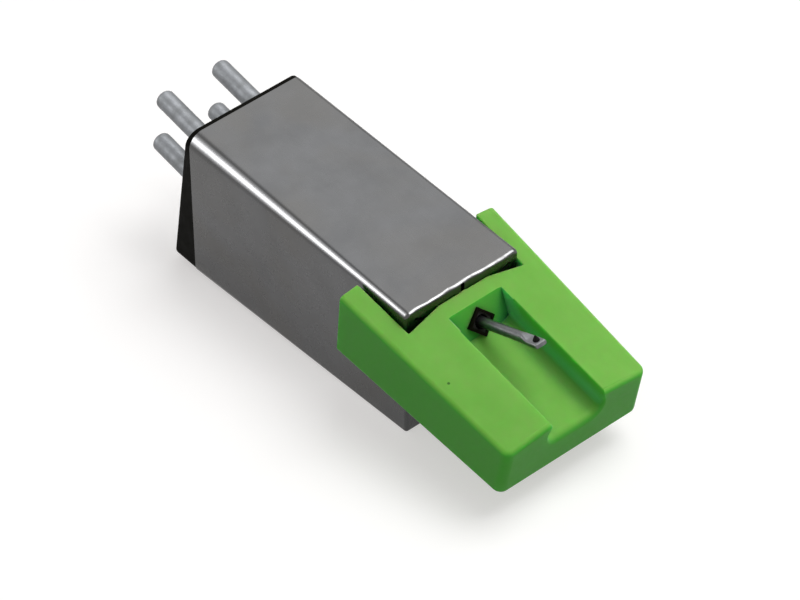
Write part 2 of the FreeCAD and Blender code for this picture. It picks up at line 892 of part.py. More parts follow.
def build_damper():
    """Rubber block that fills the tube's bore around the cantilever."""
    body = new_body("damper")
    sketch = new_sketch(body, "damper_section", "XZ_Plane")
    draw_outline(sketch, diamond(S.tube_side / 2 - S.tube_wall))
    draw_circle(sketch, S.cantilever_diameter)
    pad(body, "damper_pad", sketch, S.damper_thickness, reverse=True)
    place_on_tube(body, PIVOT_TO_FRONT)


def build_magnet():
    """Small rod magnet, its front end glued into the cantilever."""
    body = new_body("magnet")
    sketch = new_sketch(body, "magnet_profile", "XY_Plane")
    neck = S.cantilever_bore / 2
    radius = S.magnet_diameter / 2
    draw_outline(
        sketch,
        (
            (0.0, -S.magnet_socket),
            (neck, -S.magnet_socket),
            (neck, 0.0),
            (radius, 0.0),
            (radius, S.magnet_length),
            (0.0, S.magnet_length),
        ),
    )
    revolve(body, "magnet_turning", sketch)
    place_on_tube(body, PIVOT_TO_REAR)


def slab_section(width, thickness, along):
    """A flat oval across the tube, at a distance in front of the mouth."""
    corner = thickness / 2
    half = width / 2 - corner
    up = FreeCAD.Vector(0, 0, corner)
    side = FreeCAD.Vector(half, 0, 0)
    middle = FreeCAD.Vector(0, -along, 0)
    reach = FreeCAD.Vector(half + corner, 0, 0)
    edges = [
        Part.LineSegment(middle - side + up, middle + side + up).toShape(),
        Part.Arc(middle + side + up, middle + reach, middle + side - up).toShape(),
        Part.LineSegment(middle + side - up, middle - side - up).toShape(),
        Part.Arc(middle - side - up, middle - reach, middle - side + up).toShape(),
    ]
    return Part.Wire(edges)


def build_cantilever():
    """Drawn tube whose end is pressed flat and pierced for the stylus."""
    radius = S.cantilever_diameter.value / 2
    reach = S.cantilever_reach.value
    flat_start = reach - S.paddle_length.value
    neck_start = flat_start - S.paddle_neck.value
    rear = FreeCAD.Vector(0, PIVOT_TO_REAR.value, 0)
    forward = FreeCAD.Vector(0, -1, 0)
    shaft = Part.makeCylinder(radius, neck_start + PIVOT_TO_REAR.value, rear, forward)
    nearly_round = S.cantilever_diameter.value * NEARLY_ROUND
    neck = Part.makeLoft(
        [
            slab_section(S.cantilever_diameter.value + nearly_round, S.cantilever_diameter.value, neck_start),
            slab_section(S.paddle_width.value, S.paddle_thickness.value, flat_start),
        ],
        True,
        True,
    )
    paddle = Part.makeLoft(
        [
            slab_section(S.paddle_width.value, S.paddle_thickness.value, flat_start),
            slab_section(S.paddle_width.value, S.paddle_thickness.value, reach),
        ],
        True,
        True,
    )
    body = shaft.fuse([neck, paddle]).removeSplitter()
    bore_length = neck_start + PIVOT_TO_REAR.value - radius
    bore = Part.makeCylinder(S.cantilever_bore.value / 2, bore_length, rear, forward)
    shank = stylus_hole(S.paddle_thickness.value * 2, -S.paddle_thickness.value)
    feature = new_feature("cantilever", body.cut(bore).cut(shank))
    feature.Placement = can_frame_placement().multiply(tube_frame())


def tube_frame():
    """The tube's mouth as a placement in the can frame."""
    turn = FreeCAD.Rotation(FreeCAD.Vector(1, 0, 0), -S.tube_tilt.value)
    return FreeCAD.Placement(FreeCAD.Vector(0, MOUTH_ALONG.value, MOUTH_UP.value), turn)


def stylus_hole(length, start):
    """Round bar through the flattened end, square to it."""
    along = S.stylus_setback.value - S.cantilever_reach.value
    base = FreeCAD.Vector(0, along, start)
    return Part.makeCylinder(S.stylus_shank.value / 2, length, base, FreeCAD.Vector(0, 0, 1))


def build_stylus():
    """Stylus: a shank set through the flattened end, ground to a cone."""
    half = S.paddle_thickness.value / 2
    shank_length = half * 2 + S.stylus_stand.value
    shank = stylus_hole(shank_length, -half)
    along = S.stylus_setback.value - S.cantilever_reach.value
    top = FreeCAD.Vector(0, along, shank_length - half)
    radius = S.stylus_shank.value / 2
    cone = Part.makeCone(radius, S.stylus_tip.value / 2, S.stylus_cone.value, top, FreeCAD.Vector(0, 0, 1))
    feature = new_feature("stylus", shank.fuse(cone).removeSplitter())
    feature.Placement = can_frame_placement().multiply(tube_frame())


# The generator inside the can


def build_carrier():
    """Moulded carrier behind the window: the socket for the tube, and the poles' front ends."""
    body = new_body("core_carrier")
    inset = S.can_sheet + S.carrier_fit
    side = new_sketch(body, "carrier_side", "YZ_Plane")
    draw_can_side(side, inset, inset + S.carrier_length, inset)
    pad(body, "carrier_block", side, S.can_width - inset * 2, midplane=True)
    round_edges(body, "carrier_corner_round", S.can_corner - inset, runs_along)
    tilt = -S.tube_tilt
    shift = (0.0, MOUTH_UP, -MOUTH_ALONG)
    socket = new_sketch(body, "socket_section", "XZ_Plane", shift, tilt)
    draw_outline(socket, diamond(S.tube_side / 2 + S.socket_fit))
    pocket(body, "socket_cut", socket)
    along, up = tube_point(S.pole_tip_depth)
    poles = new_sketch(body, "pole_bores", "XZ_Plane", (0.0, up, -along), tilt)
    for _, side, level in CORNERS:
        draw_circle(poles, S.pole_diameter, S.pole_offset * side, S.pole_offset * level)
    pocket(body, "pole_bore_cut", poles, S.carrier_length * 2)
    place(body)


def bent_bar(points, section):
    """A bar that turns sharply at each point of its path."""
    return Part.makePolygon(points).makePipeShell([section], True, False, MITRED)


def round_section(points, diameter):
    circle = Part.makeCircle(diameter / 2, points[0], points[1] - points[0])
    return Part.Wire([circle])


def wire_section(points, diameter):
    """A fine wire's section with few sides, square to the can's length."""
    corners = []
    for step in range(WIRE_SIDES + 1):
        angle = math.radians(FULL_TURN / WIRE_SIDES * step)
        outward = FreeCAD.Vector(math.cos(angle), 0, math.sin(angle))
        corners.append(points[0] + outward * (diameter / 2))
    return Part.makePolygon(corners)


def coil_centre(side, level):
    across = S.coil_pitch_across / 2 * side
    up = S.coil_pitch_up / 2 * level - S.coil_centre_depth
    return across, up


def yoke_start(pair):
    """Front face of a yoke, one behind the other."""
    return S.coil_front + COIL_LENGTH + S.yoke_gap + (S.yoke_thickness + S.yoke_gap) * pair


def pair_of(side, level):
    """Coils on the same diagonal share a channel and a yoke."""
    return 0 if side * level > 0 else 1


def build_pole(name, side, level):
    """Soft-iron pole: its tip lies beside the tube, its rear end carries a coil."""
    lift = S.pole_offset * level
    across = S.pole_offset * side
    tip_along, tip_up = tube_point(S.pole_tip_depth, lift)
    bend_along, bend_up = tube_point(S.pole_tip_depth + S.pole_straight, lift)
    coil_across, coil_up = coil_centre(side, level)
    knee = S.coil_front - S.pole_knee
    end = yoke_start(pair_of(side, level)) + S.yoke_thickness
    points = [
        FreeCAD.Vector(across.value, tip_along.value, tip_up.value),
        FreeCAD.Vector(across.value, bend_along.value, bend_up.value),
        FreeCAD.Vector(coil_across.value, knee.value, coil_up.value),
        FreeCAD.Vector(coil_across.value, end.value, coil_up.value),
    ]
    new_feature(f"pole_{name}", bent_bar(points, round_section(points, S.pole_diameter.value)))


def build_bobbin(name, side, level):
    body = new_body(f"bobbin_{name}")
    sketch = new_sketch(body, f"bobbin_{name}_profile", "XY_Plane")
    bore = S.pole_diameter / 2
    core = S.bobbin_core / 2
    rim = S.bobbin_flange / 2
    flange = S.bobbin_flange_thickness
    far = COIL_LENGTH - flange
    draw_outline(
        sketch,
        (
            (bore, 0.0),
            (rim, 0.0),
            (rim, flange),
            (core, flange),
            (core, far),
            (rim, far),
            (rim, COIL_LENGTH),
            (bore, COIL_LENGTH),
        ),
    )
    revolve(body, f"bobbin_{name}_turning", sketch)
    across, up = coil_centre(side, level)
    place(body, across, S.coil_front, up)


def build_winding(name, side, level):
    body = new_body(f"winding_{name}")
    sketch = new_sketch(body, f"winding_{name}_profile", "XY_Plane")
    core = S.bobbin_core / 2
    rim = S.winding_diameter / 2
    flange = S.bobbin_flange_thickness
    far = COIL_LENGTH - flange
    draw_outline(sketch, ((core, flange), (rim, flange), (rim, far), (core, far)))
    revolve(body, f"winding_{name}_turning", sketch)
    across, up = coil_centre(side, level)
    place(body, across, S.coil_front, up)


def build_yoke(name, pair):
    """Flat bar that joins the rear ends of the two poles of one channel."""
    body = new_body(f"yoke_{name}")
    sketch = new_sketch(body, f"yoke_{name}_outline", "XZ_Plane")
    side = 1 if pair == 0 else -1
    across = S.coil_pitch_across / 2
    up = S.coil_pitch_up / 2
    half = S.yoke_width / 2
    length = math.hypot(across.value, up.value)
    over_x = half * (across.value / length)
    over_y = half * (up.value / length)
    corners = (
        (across + over_x - over_y, up + over_y + over_x),
        (across + over_x + over_y, up + over_y - over_x),
        (-across - over_x + over_y, -up - over_y - over_x),
        (-across - over_x - over_y, -up - over_y + over_x),
    )
    draw_outline(sketch, [(x * side, y) for x, y in corners])
    pad(body, f"yoke_{name}_plate", sketch, S.yoke_thickness, reverse=True)
    holes = new_sketch(body, f"yoke_{name}_holes", "XZ_Plane")
    draw_circle(holes, S.pole_diameter, across * side, up)
    draw_circle(holes, S.pole_diameter, -across * side, -up)
    pocket(body, f"yoke_{name}_hole_cut", holes)
    place(body, 0.0, yoke_start(pair), -S.coil_centre_depth)


def build_lead(name, side, level, pin_across, pin_up):
    """Lead-out wire from a coil's rear flange to the tail of its pin."""
    coil_across, coil_up = coil_centre(side, level)
    coil_rear = S.coil_front + COIL_LENGTH
    offset_across = coil_across + S.lead_side_offset * side
    offset_up = coil_up + S.lead_up_offset * level
    inside = shank_depth(pin_up)
    tail_along = cap_face_along(pin_up) - inside * cosine(S.cap_tilt)
    tail_up = pin_up - inside * sine(S.cap_tilt)
    lead = S.lead_diameter
    past_yokes = yoke_start(2) + lead
    points = [
        FreeCAD.Vector(offset_across.value, coil_rear.value, offset_up.value),
        FreeCAD.Vector(offset_across.value, past_yokes.value, offset_up.value),
        FreeCAD.Vector(pin_across.value, tail_along.value, tail_up.value),
    ]
    new_feature(f"lead_{name}", bent_bar(points, wire_section(points, lead.value)))


def build_generator():
    """Carrier, poles, coils, yokes and leads, in the order of assembly."""
    build_carrier()
    for name, side, level in CORNERS:
        build_pole(name, side, level)
        build_bobbin(name, side, level)
        build_winding(name, side, level)
    build_yoke("right_channel", 0)
    build_yoke("left_channel", 1)
    for (name, side, level), (_, pin_across, pin_up) in zip(CORNERS, pin_centres()):
        build_lead(name, side, level, pin_across, pin_up)


def build_all():
    build_shield_can()
    build_rear_cap()
    for name, across, up in pin_centres():
        build_pin(name, across, up)
    build_stylus_holder()
    build_plug_tube()
    build_damper()
    build_cantilever()
    build_stylus()
    build_magnet()
    build_generator()


def check_document():
    """Stop if anything in the document failed or a piece has no sound solid."""
    DOCUMENT.recompute()
    for item in DOCUMENT.Objects:
        if "Invalid" in item.State or "Error" in item.State:
            raise ValueError(f"{item.Name} is {item.State}")
    for item in SOLIDS:
        if item.Shape.isNull() or not item.Shape.isValid() or not item.Shape.Solids:
            raise ValueError(f"{item.Label} has no sound solid")


def write_parts():
    os.makedirs("parts", exist_ok=True)
    for item in SOLIDS:
        item.Shape.exportStep(os.path.join("parts", f"{item.Label}.step"))
        print(f"{item.Label}: {len(item.Shape.Solids)} solid, {item.Shape.Volume:.3f} mm3")


build_all()
check_document()
write_parts()
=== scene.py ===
import json
import math

import bmesh
import bpy
from mathutils import Matrix, Vector, noise


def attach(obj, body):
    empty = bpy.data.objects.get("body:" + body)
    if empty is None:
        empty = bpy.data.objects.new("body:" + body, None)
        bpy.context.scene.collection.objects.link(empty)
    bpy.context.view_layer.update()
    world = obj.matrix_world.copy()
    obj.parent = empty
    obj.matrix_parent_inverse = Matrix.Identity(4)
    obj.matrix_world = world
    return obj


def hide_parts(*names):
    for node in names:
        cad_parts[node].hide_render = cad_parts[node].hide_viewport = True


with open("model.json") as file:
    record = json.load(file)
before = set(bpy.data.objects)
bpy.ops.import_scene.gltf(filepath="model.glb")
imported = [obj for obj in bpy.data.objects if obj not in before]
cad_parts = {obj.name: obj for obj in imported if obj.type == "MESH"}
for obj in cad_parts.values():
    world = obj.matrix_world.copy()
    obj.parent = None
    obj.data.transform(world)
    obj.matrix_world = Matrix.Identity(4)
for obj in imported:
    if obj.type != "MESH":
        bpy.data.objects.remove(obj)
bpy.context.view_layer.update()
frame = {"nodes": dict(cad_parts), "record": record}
scene = bpy.context.scene

MM = 0.001
ACROSS = Vector((1, 0, 0))

# Tilts, as in the CAD model
CAN_TAPER = math.radians(5)
CAP_TILT = math.radians(9)
PIN_TILT = math.radians(14)
HOLDER_TILT = math.radians(15.4)
TUBE_TILT = math.radians(20)


# Node graphs


def is_socket(value):
    return isinstance(value, bpy.types.NodeSocket)


def add_node(tree, kind, **settings):
    node = tree.nodes.new(kind)
    for name, value in settings.items():
        setattr(node, name, value)
    return node


class Graph:
    """A material with one principled shader, built node by node."""

    def __init__(self, name):
        self.material = bpy.data.materials.new(name)
        self.material.use_nodes = True
        self.tree = self.material.node_tree
        self.tree.nodes.clear()
        self.shader = self.add("ShaderNodeBsdfPrincipled")
        output = self.add("ShaderNodeOutputMaterial")
        self.link(self.shader.outputs["BSDF"], output.inputs["Surface"])
        coordinates = self.add("ShaderNodeTexCoord")
        self.place = coordinates.outputs["Object"]
        self.normal = coordinates.outputs["Normal"]

    def add(self, kind, **settings):
        return add_node(self.tree, kind, **settings)

    def link(self, source, target):
        self.tree.links.new(source, target)

    def feed(self, socket, value):
        """Link another node's output to a socket, or set it to a plain value."""
        if is_socket(value):
            self.link(value, socket)
        else:
            socket.default_value = value

    def set(self, **values):
        """Set the shader's inputs, whose names have _ for each space."""
        for name, value in values.items():
            self.feed(self.shader.inputs[name.replace("_", " ")], value)

    def mapped(self, turn=(0, 0, 0), stretch=(1, 1, 1)):
        """The piece's own place, turned and stretched, so that a grain can follow it."""
        node = self.add("ShaderNodeMapping", vector_type="POINT")
        self.link(self.place, node.inputs["Vector"])
        node.inputs["Rotation"].default_value = turn
        node.inputs["Scale"].default_value = stretch
        return node.outputs["Vector"]

    def noise(self, size, detail=3.0, roughness=0.5, place=None, distortion=0.0):
        """Cloudy noise between 0 and 1 whose lumps are about size metres across."""
        node = self.add("ShaderNodeTexNoise")
        self.link(place or self.place, node.inputs["Vector"])
        node.inputs["Scale"].default_value = 1 / size
        node.inputs["Detail"].default_value = detail
        node.inputs["Roughness"].default_value = roughness
        node.inputs["Distortion"].default_value = distortion
        return node.outputs["Fac"]

    def cells(self, size):
        """Distance from the middle of scattered cells that are about size metres across."""
        node = self.add("ShaderNodeTexVoronoi")
        self.link(self.place, node.inputs["Vector"])
        node.inputs["Scale"].default_value = 1 / size
        return node.outputs["Distance"]

    def waves(self, size, direction, place, distortion):
        """Parallel ridges, size metres apart, along one axis."""
        node = self.add("ShaderNodeTexWave", bands_direction=direction)
        self.link(place, node.inputs["Vector"])
        node.inputs["Scale"].default_value = math.pi / 10 / size
        node.inputs["Distortion"].default_value = distortion
        return node.outputs["Fac"]

    def ramp(self, factor, *stops):
        """Map a factor to numbers or colours, given as pairs of place and value."""
        node = self.add("ShaderNodeValToRGB")
        self.link(factor, node.inputs["Fac"])
        elements = node.color_ramp.elements
        while len(elements) < len(stops):
            elements.new(1.0)
        for element, (place, value) in zip(elements, stops):
            element.position = place
            colour = (value,) * 3 if isinstance(value, (int, float)) else value
            element.color = (*colour, 1)
        return node.outputs["Color"]

    def mix(self, factor, first, second):
        """The first colour where the factor is 0 and the second where it is 1."""
        node = self.add("ShaderNodeMix", data_type="RGBA")
        self.feed(node.inputs["Factor"], factor)
        for number, value in ((6, first), (7, second)):
            self.feed(node.inputs[number], value if is_socket(value) else (*value, 1))
        return node.outputs[2]

    def math(self, operation, first, second, clamp=False):
        node = self.add("ShaderNodeMath", operation=operation, use_clamp=clamp)
        self.feed(node.inputs[0], first)
        self.feed(node.inputs[1], second)
        return node.outputs["Value"]

    def bump(self, height, depth, strength, below=None):
        """Relief of a depth in metres, on top of another relief if one is given."""
        node = self.add("ShaderNodeBump")
        self.link(height, node.inputs["Height"])
        node.inputs["Distance"].default_value = depth
        node.inputs["Strength"].default_value = strength
        if below is not None:
            self.link(below, node.inputs["Normal"])
        return node.outputs["Normal"]

    def openness(self, reach):
        """1 on open faces, falling towards 0 in corners and crevices."""
        node = self.add("ShaderNodeAmbientOcclusion", only_local=True, samples=6)
        node.inputs["Distance"].default_value = reach
        return node.outputs["AO"]

    def turned_to(self, direction, start, full):
        """0 up to one closeness to a direction of the part's own and 1 from another, as cosines."""
        node = self.add("ShaderNodeVectorMath", operation="DOT_PRODUCT")
        self.link(self.normal, node.inputs[0])
        node.inputs[1].default_value = Vector(direction).normalized()
        return self.ramp(node.outputs["Value"], (start, 0.0), (full, 1.0))

    def spot(self, centre, radius):
        """1 at a point, falling to 0 at a radius."""
        node = self.add("ShaderNodeVectorMath", operation="DISTANCE")
        self.link(self.place, node.inputs[0])
        node.inputs[1].default_value = centre
        share = self.math("DIVIDE", node.outputs["Value"], radius)
        return self.math("SUBTRACT", 1.0, share, clamp=True)


# Materials

# Stretch of a grain that runs along a piece
LENGTHWISE = (1, 0.05, 1)
# A speck of dirt on the holder's left bank
SPECK = (-4.812 * MM, -15.18 * MM, 7.52 * MM)
SPECK_RADIUS = 0.13 * MM


def can_metal():
    """Plated sheet steel: satin and mottled with rolling marks, with a painted highlight on the
    edges that face the edge lamps.
    """
    g = Graph("can_metal")
    along = g.mapped(turn=(-CAN_TAPER, 0, 0), stretch=LENGTHWISE)
    mottle = g.noise(2.4 * MM, 4.0, 0.55)
    haze = g.noise(7.0 * MM, 2.0, distortion=0.6)
    rolled = g.noise(0.14 * MM, 2.0, 0.55, along)
    grain = g.noise(0.06 * MM, 3.0, 0.6)
    base = g.ramp(
        mottle,
        (0.30, (0.080, 0.081, 0.083)),
        (0.50, (0.088, 0.089, 0.091)),
        (0.72, (0.095, 0.096, 0.099)),
    )
    warm = g.mix(g.ramp(haze, (0.42, 0.0), (0.62, 0.5)), base, (0.086, 0.083, 0.078))
    lined = g.mix(g.ramp(rolled, (0.38, 0.12), (0.60, 0.0)), warm, (0.077, 0.078, 0.079))
    # Painted highlight: the rounded left and front edges get a lighter base colour where they face
    # the edge lamps, broken up unevenly along the front.
    left_edge = g.turned_to((-1, 0, 1), 0.925, 0.992)
    uneven = g.ramp(g.noise(0.55 * MM, 3.0, 0.6), (0.40, 0.35), (0.58, 1.0))
    front_edge = g.math("MULTIPLY", g.turned_to((0, -1, 1), 0.93, 0.995), uneven)
    painted_edge_highlight = g.math("MAXIMUM", left_edge, front_edge)
    edge_highlighted = g.mix(painted_edge_highlight, lined, (0.30, 0.30, 0.305))
    rough = g.ramp(g.noise(0.9 * MM, 4.0, 0.6), (0.30, 0.25), (0.72, 0.31))
    relief = g.bump(rolled, 0.0006 * MM, 0.20)
    relief = g.bump(grain, 0.0002 * MM, 0.10, relief)
    relief = g.bump(haze, 0.010 * MM, 0.20, relief)
    g.set(Base_Color=edge_highlighted, Metallic=1.0, Roughness=rough, Normal=relief)
    return g.material


def black_moulding():
    """Smooth black moulding with faint flow marks and a little dust."""
    g = Graph("black_moulding")
    cloud = g.noise(1.4 * MM)
    dust = g.cells(0.45 * MM)
    base = g.ramp(cloud, (0.3, (0.0016, 0.0015, 0.0006)), (0.7, (0.0028, 0.0026, 0.0013)))
    dusty = g.mix(g.ramp(dust, (0.03, 0.20), (0.06, 0.0)), base, (0.03, 0.029, 0.025))
    rough = g.ramp(g.noise(0.7 * MM, 4.0), (0.3, 0.42), (0.75, 0.58))
    relief = g.bump(g.noise(0.09 * MM, 3.0, 0.6), 0.003 * MM, 0.5)
    g.set(Base_Color=dusty, Roughness=rough, Normal=relief, Specular_IOR_Level=0.02)
    return g.material


def pin_plating():
    """Tin plate on turned pins: soft drawn lines along the post under a dull bloom."""
    g = Graph("pin_plating")
    along = g.mapped(turn=(-PIN_TILT, 0, 0), stretch=LENGTHWISE)
    across = g.mapped(turn=(-PIN_TILT, 0, 0), stretch=(0.2, 1, 0.2))
    drawn = g.noise(0.09 * MM, place=along)
    turned = g.noise(0.08 * MM, 2.0, place=across)
    bloom = g.noise(0.60 * MM)
    base = g.ramp(
        bloom,
        (0.30, (0.160, 0.166, 0.171)),
        (0.52, (0.192, 0.200, 0.210)),
        (0.75, (0.224, 0.232, 0.245)),
    )
    lined = g.mix(g.ramp(drawn, (0.38, 0.20), (0.62, 0.0)), base, (0.128, 0.133, 0.135))
    rough = g.ramp(bloom, (0.3, 0.58), (0.7, 0.48))
    relief = g.bump(drawn, 0.002 * MM, 0.35)
    relief = g.bump(turned, 0.001 * MM, 0.25, relief)
    relief = g.bump(bloom, 0.006 * MM, 0.25, relief)
    g.set(Base_Color=lined, Metallic=1.0, Roughness=rough, Normal=relief)
    return g.material


def green_moulding():
    """Slightly translucent green moulding with a fine spark-eroded skin and a dirt speck, with
    painted shade on its sides, hollows and sheltered walls.
    """
    g = Graph("green_moulding")
    cloud = g.noise(2.6 * MM, 2.0)
    flow = g.noise(0.8 * MM, 3.0, 0.55, g.mapped(stretch=(1, 0.35, 1)))
    base = g.ramp(cloud, (0.30, (0.184, 0.465, 0.072)), (0.70, (0.212, 0.500, 0.087)))
    swirl = g.mix(g.ramp(flow, (0.40, 0.12), (0.62, 0.0)), base, (0.140, 0.415, 0.050))
    # Painted shade: faces that turn away from up get a less red, more saturated green than the top.
    upper = g.turned_to((0, 0, 1), 0.25, 0.75)
    side_shaded = g.mix(upper, (0.105, 0.470, 0.060), swirl)
    # Painted shade: a dark teal laid into corners and crevices by their ambient occlusion.
    openness = g.openness(1.5 * MM)
    crevice_shade_mask = g.ramp(openness, (0.45, 0.95), (0.90, 0.0))
    crevice_shaded = g.mix(crevice_shade_mask, side_shaded, (0.014, 0.215, 0.066))
    # Painted shade: a teal tint on sideways faces that are sheltered, the channel's walls, that
    # stands in for their shade.
    right, left = (g.turned_to((side, 0, 0), 0.80, 0.96) for side in (1, -1))
    sheltered = g.ramp(openness, (0.82, 0.85), (0.97, 0.0))
    wall = g.math("MULTIPLY", g.math("MAXIMUM", right, left), sheltered)
    wall_shade_tinted = g.mix(wall, crevice_shaded, (0.150, 0.600, 0.220))
    # The dirt speck goes over the colour that carries the painted shade of the sides, hollows and
    # walls.
    speck = g.ramp(g.spot(SPECK, SPECK_RADIUS), (0.15, 0.0), (0.5, 0.85))
    speck_and_shade = g.mix(speck, wall_shade_tinted, (0.020, 0.09, 0.012))
    rough = g.ramp(g.noise(0.35 * MM, 4.0, 0.6), (0.30, 0.36), (0.72, 0.48))
    relief = g.bump(g.noise(0.055 * MM, 3.0, 0.6), 0.003 * MM, 0.40)
    relief = g.bump(g.noise(1.3 * MM, 2.0), 0.04 * MM, 0.20, relief)
    g.set(
        Base_Color=speck_and_shade,
        Roughness=rough,
        Normal=relief,
        Subsurface_Weight=0.9,
        Subsurface_Radius=(0.30, 1.0, 0.35),
        Subsurface_Scale=1.2 * MM,
        Specular_IOR_Level=0.05,
    )
    return g.material


def drawn_metal(name, low, high, tilt, smoothest, roughest):
    """Drawn metal between two colours, whose fine lines run along the piece."""
    g = Graph(name)
    along = g.mapped(turn=(-tilt, 0, 0), stretch=LENGTHWISE)
    drawn = g.noise(0.03 * MM, 3.0, 0.6, along)
    bloom = g.noise(0.5 * MM, 4.0, 0.6)
    base = g.ramp(bloom, (0.3, low), (0.7, high))
    dark = tuple(0.6 * value for value in low)
    lined = g.mix(g.ramp(drawn, (0.35, 0.4), (0.60, 0.0)), base, dark)
    rough = g.ramp(bloom, (0.3, roughest), (0.7, smoothest))
    relief = g.bump(drawn, 0.003 * MM, 0.6)
    relief = g.bump(g.noise(0.2 * MM), 0.006 * MM, 0.4, relief)
    g.set(Base_Color=lined, Metallic=1.0, Roughness=rough, Normal=relief)
    return g.material


def moulding(name, low, high, smoothest, roughest):
    """Plain moulded plastic or rubber between two colours, with an uneven skin."""
    g = Graph(name)
    cloud = g.noise(1.1 * MM, 3.0, 0.55)
    base = g.ramp(cloud, (0.3, low), (0.7, high))
    dark = tuple(0.6 * value for value in low)
    spotted = g.mix(g.ramp(g.cells(0.25 * MM), (0.04, 0.35), (0.09, 0.0)), base, dark)
    rough = g.ramp(g.noise(0.4 * MM, 4.0), (0.3, smoothest), (0.7, roughest))
    relief = g.bump(g.noise(0.06 * MM, 3.0, 0.6), 0.004 * MM, 0.6)
    g.set(Base_Color=spotted, Roughness=rough, Normal=relief, Specular_IOR_Level=0.2)
    return g.material


def coil_wire():
    """Fine enamelled wire wound side by side."""
    g = Graph("coil_wire")
    turns = g.waves(0.07 * MM, "Y", g.mapped(turn=(-CAN_TAPER, 0, 0)), 0.6)
    layer = g.noise(0.6 * MM)
    base = g.ramp(layer, (0.3, (0.30, 0.085, 0.030)), (0.7, (0.46, 0.155, 0.055)))
    lined = g.mix(g.ramp(turns, (0.0, 0.75), (0.35, 0.0)), base, (0.10, 0.022, 0.008))
    rough = g.ramp(layer, (0.3, 0.28), (0.7, 0.40))
    relief = g.bump(turns, 0.03 * MM, 0.8)
    g.set(Base_Color=lined, Metallic=1.0, Roughness=rough, Normal=relief)
    return g.material


def stylus_stone():
    """Dark ground stone."""
    g = Graph("stylus_stone")
    cloud = g.noise(0.12 * MM)
    base = g.ramp(cloud, (0.3, (0.0015, 0.0014, 0.0012)), (0.7, (0.006, 0.0055, 0.005)))
    rough = g.ramp(g.noise(0.05 * MM), (0.3, 0.40), (0.7, 0.55))
    relief = g.bump(g.noise(0.03 * MM, 2.0), 0.001 * MM, 0.5)
    g.set(Base_Color=base, Roughness=rough, Normal=relief, Specular_IOR_Level=0.06)
    return g.material


def make_materials():
    """One material for each slot of the record."""
    materials = {
        "can_metal": can_metal(),
        "black_moulding": black_moulding(),
        "pin_plating": pin_plating(),
        "green_moulding": green_moulding(),
        "stylus_stone": stylus_stone(),
        "coil_wire": coil_wire(),
    }
    metals = (
        ("tube_metal", (0.006, 0.005, 0.0035), (0.011, 0.009, 0.0065), TUBE_TILT, 0.45, 0.60),
        ("cantilever_alloy", (0.115, 0.118, 0.122), (0.185, 0.188, 0.195), TUBE_TILT, 0.26, 0.40),
        ("magnet_rod", (0.09, 0.09, 0.095), (0.14, 0.14, 0.145), TUBE_TILT, 0.35, 0.5),
        ("soft_iron", (0.26, 0.26, 0.265), (0.36, 0.36, 0.37), CAN_TAPER, 0.3, 0.45),
    )
    mouldings = (
        ("damper_rubber", (0.0045, 0.004, 0.0035), (0.008, 0.007, 0.006), 0.55, 0.75),
        ("carrier_moulding", (0.014, 0.014, 0.014), (0.026, 0.025, 0.024), 0.45, 0.65),
        ("bobbin_moulding", (0.52, 0.49, 0.38), (0.60, 0.57, 0.46), 0.4, 0.6),
    )
    materials.update({row[0]: drawn_metal(*row) for row in metals})
    materials.update({row[0]: moulding(*row) for row in mouldings})
    return materials


def dress_nodes(materials):
    """Give every node of the part its slot's material."""
    for row in frame["record"]["subparts"]:
        node = frame["nodes"][row["node"]]
        node.data.materials.clear()
        node.data.materials.append(materials[row["material_slot"]])


# Making a piece

# Steps in each round corner of an outline, and extra points on each of a can outline's flats
CORNER_STEPS = 10
FLAT_STEPS = 18


def facing_rear(tilt):
    """The ways ahead and up of something that points to +Y and rises by a tilt."""
    ahead = Vector((0, math.cos(tilt), math.sin(tilt)))
    return ahead, Vector((0, -math.sin(tilt), math.cos(tilt)))


def facing_front(tilt):
    """The ways ahead and up of something that points to -Y and rises by a tilt."""
    ahead = Vector((0, -math.cos(tilt), math.sin(tilt)))
    return ahead, Vector((0, math.sin(tilt), math.cos(tilt)))


def ring_across(start, ways, ahead, outline):
    """An outline, in pairs of across and up, set across an axis at a distance ahead of a start."""
    ahead_way, up_way = ways
    return [start + (ACROSS * x + up_way * up + ahead_way * ahead) * MM for x, up in outline]


def rounded_outline(half, low, high, radius, flats=0):
    """Points round a box with round corners, as pairs of across and up.

    The radius is one number, or one each for the upper right, upper left, lower left and lower
    right corner. Each flat gets as many extra points as flats says.
    """
    radii = radius if isinstance(radius, tuple) else (radius,) * 4
    corners = ((1, high, -1), (-1, high, -1), (-1, low, 1), (1, low, 1))
    centres = [
        (side * (half - corner), level + inward * corner)
        for (side, level, inward), corner in zip(corners, radii)
    ]
    points = []
    for quarter, (across, up) in enumerate(centres):
        here = radii[quarter]
        for step in range(CORNER_STEPS):
            angle = math.radians(90 * (quarter + (step + 0.5) / CORNER_STEPS))
            points.append((across + here * math.cos(angle), up + here * math.sin(angle)))
        if flats:
            following = (quarter + 1) % 4
            there = radii[following]
            turn = math.radians(90 * (quarter + 1))
            ends = (
                (across + here * math.cos(turn), centres[following][0] + there * math.cos(turn)),
                (up + here * math.sin(turn), centres[following][1] + there * math.sin(turn)),
            )
            for step in range(1, flats + 1):
                share = step / (flats + 1)
                points.append(tuple(first + (last - first) * share for first, last in ends))
    return points


def new_object(name, mesh):
    item = bpy.data.objects.new(name, mesh)
    scene.collection.objects.link(item)
    return item


def new_shape(name, points, faces):
    """An object of a closed skin whose faces all look outwards."""
    mesh = bpy.data.meshes.new(name)
    mesh.from_pydata(points, [], faces)
    work = bmesh.new()
    work.from_mesh(mesh)
    bmesh.ops.recalc_face_normals(work, faces=work.faces)
    work.to_mesh(mesh)
    work.free()
    return new_object(name, mesh)


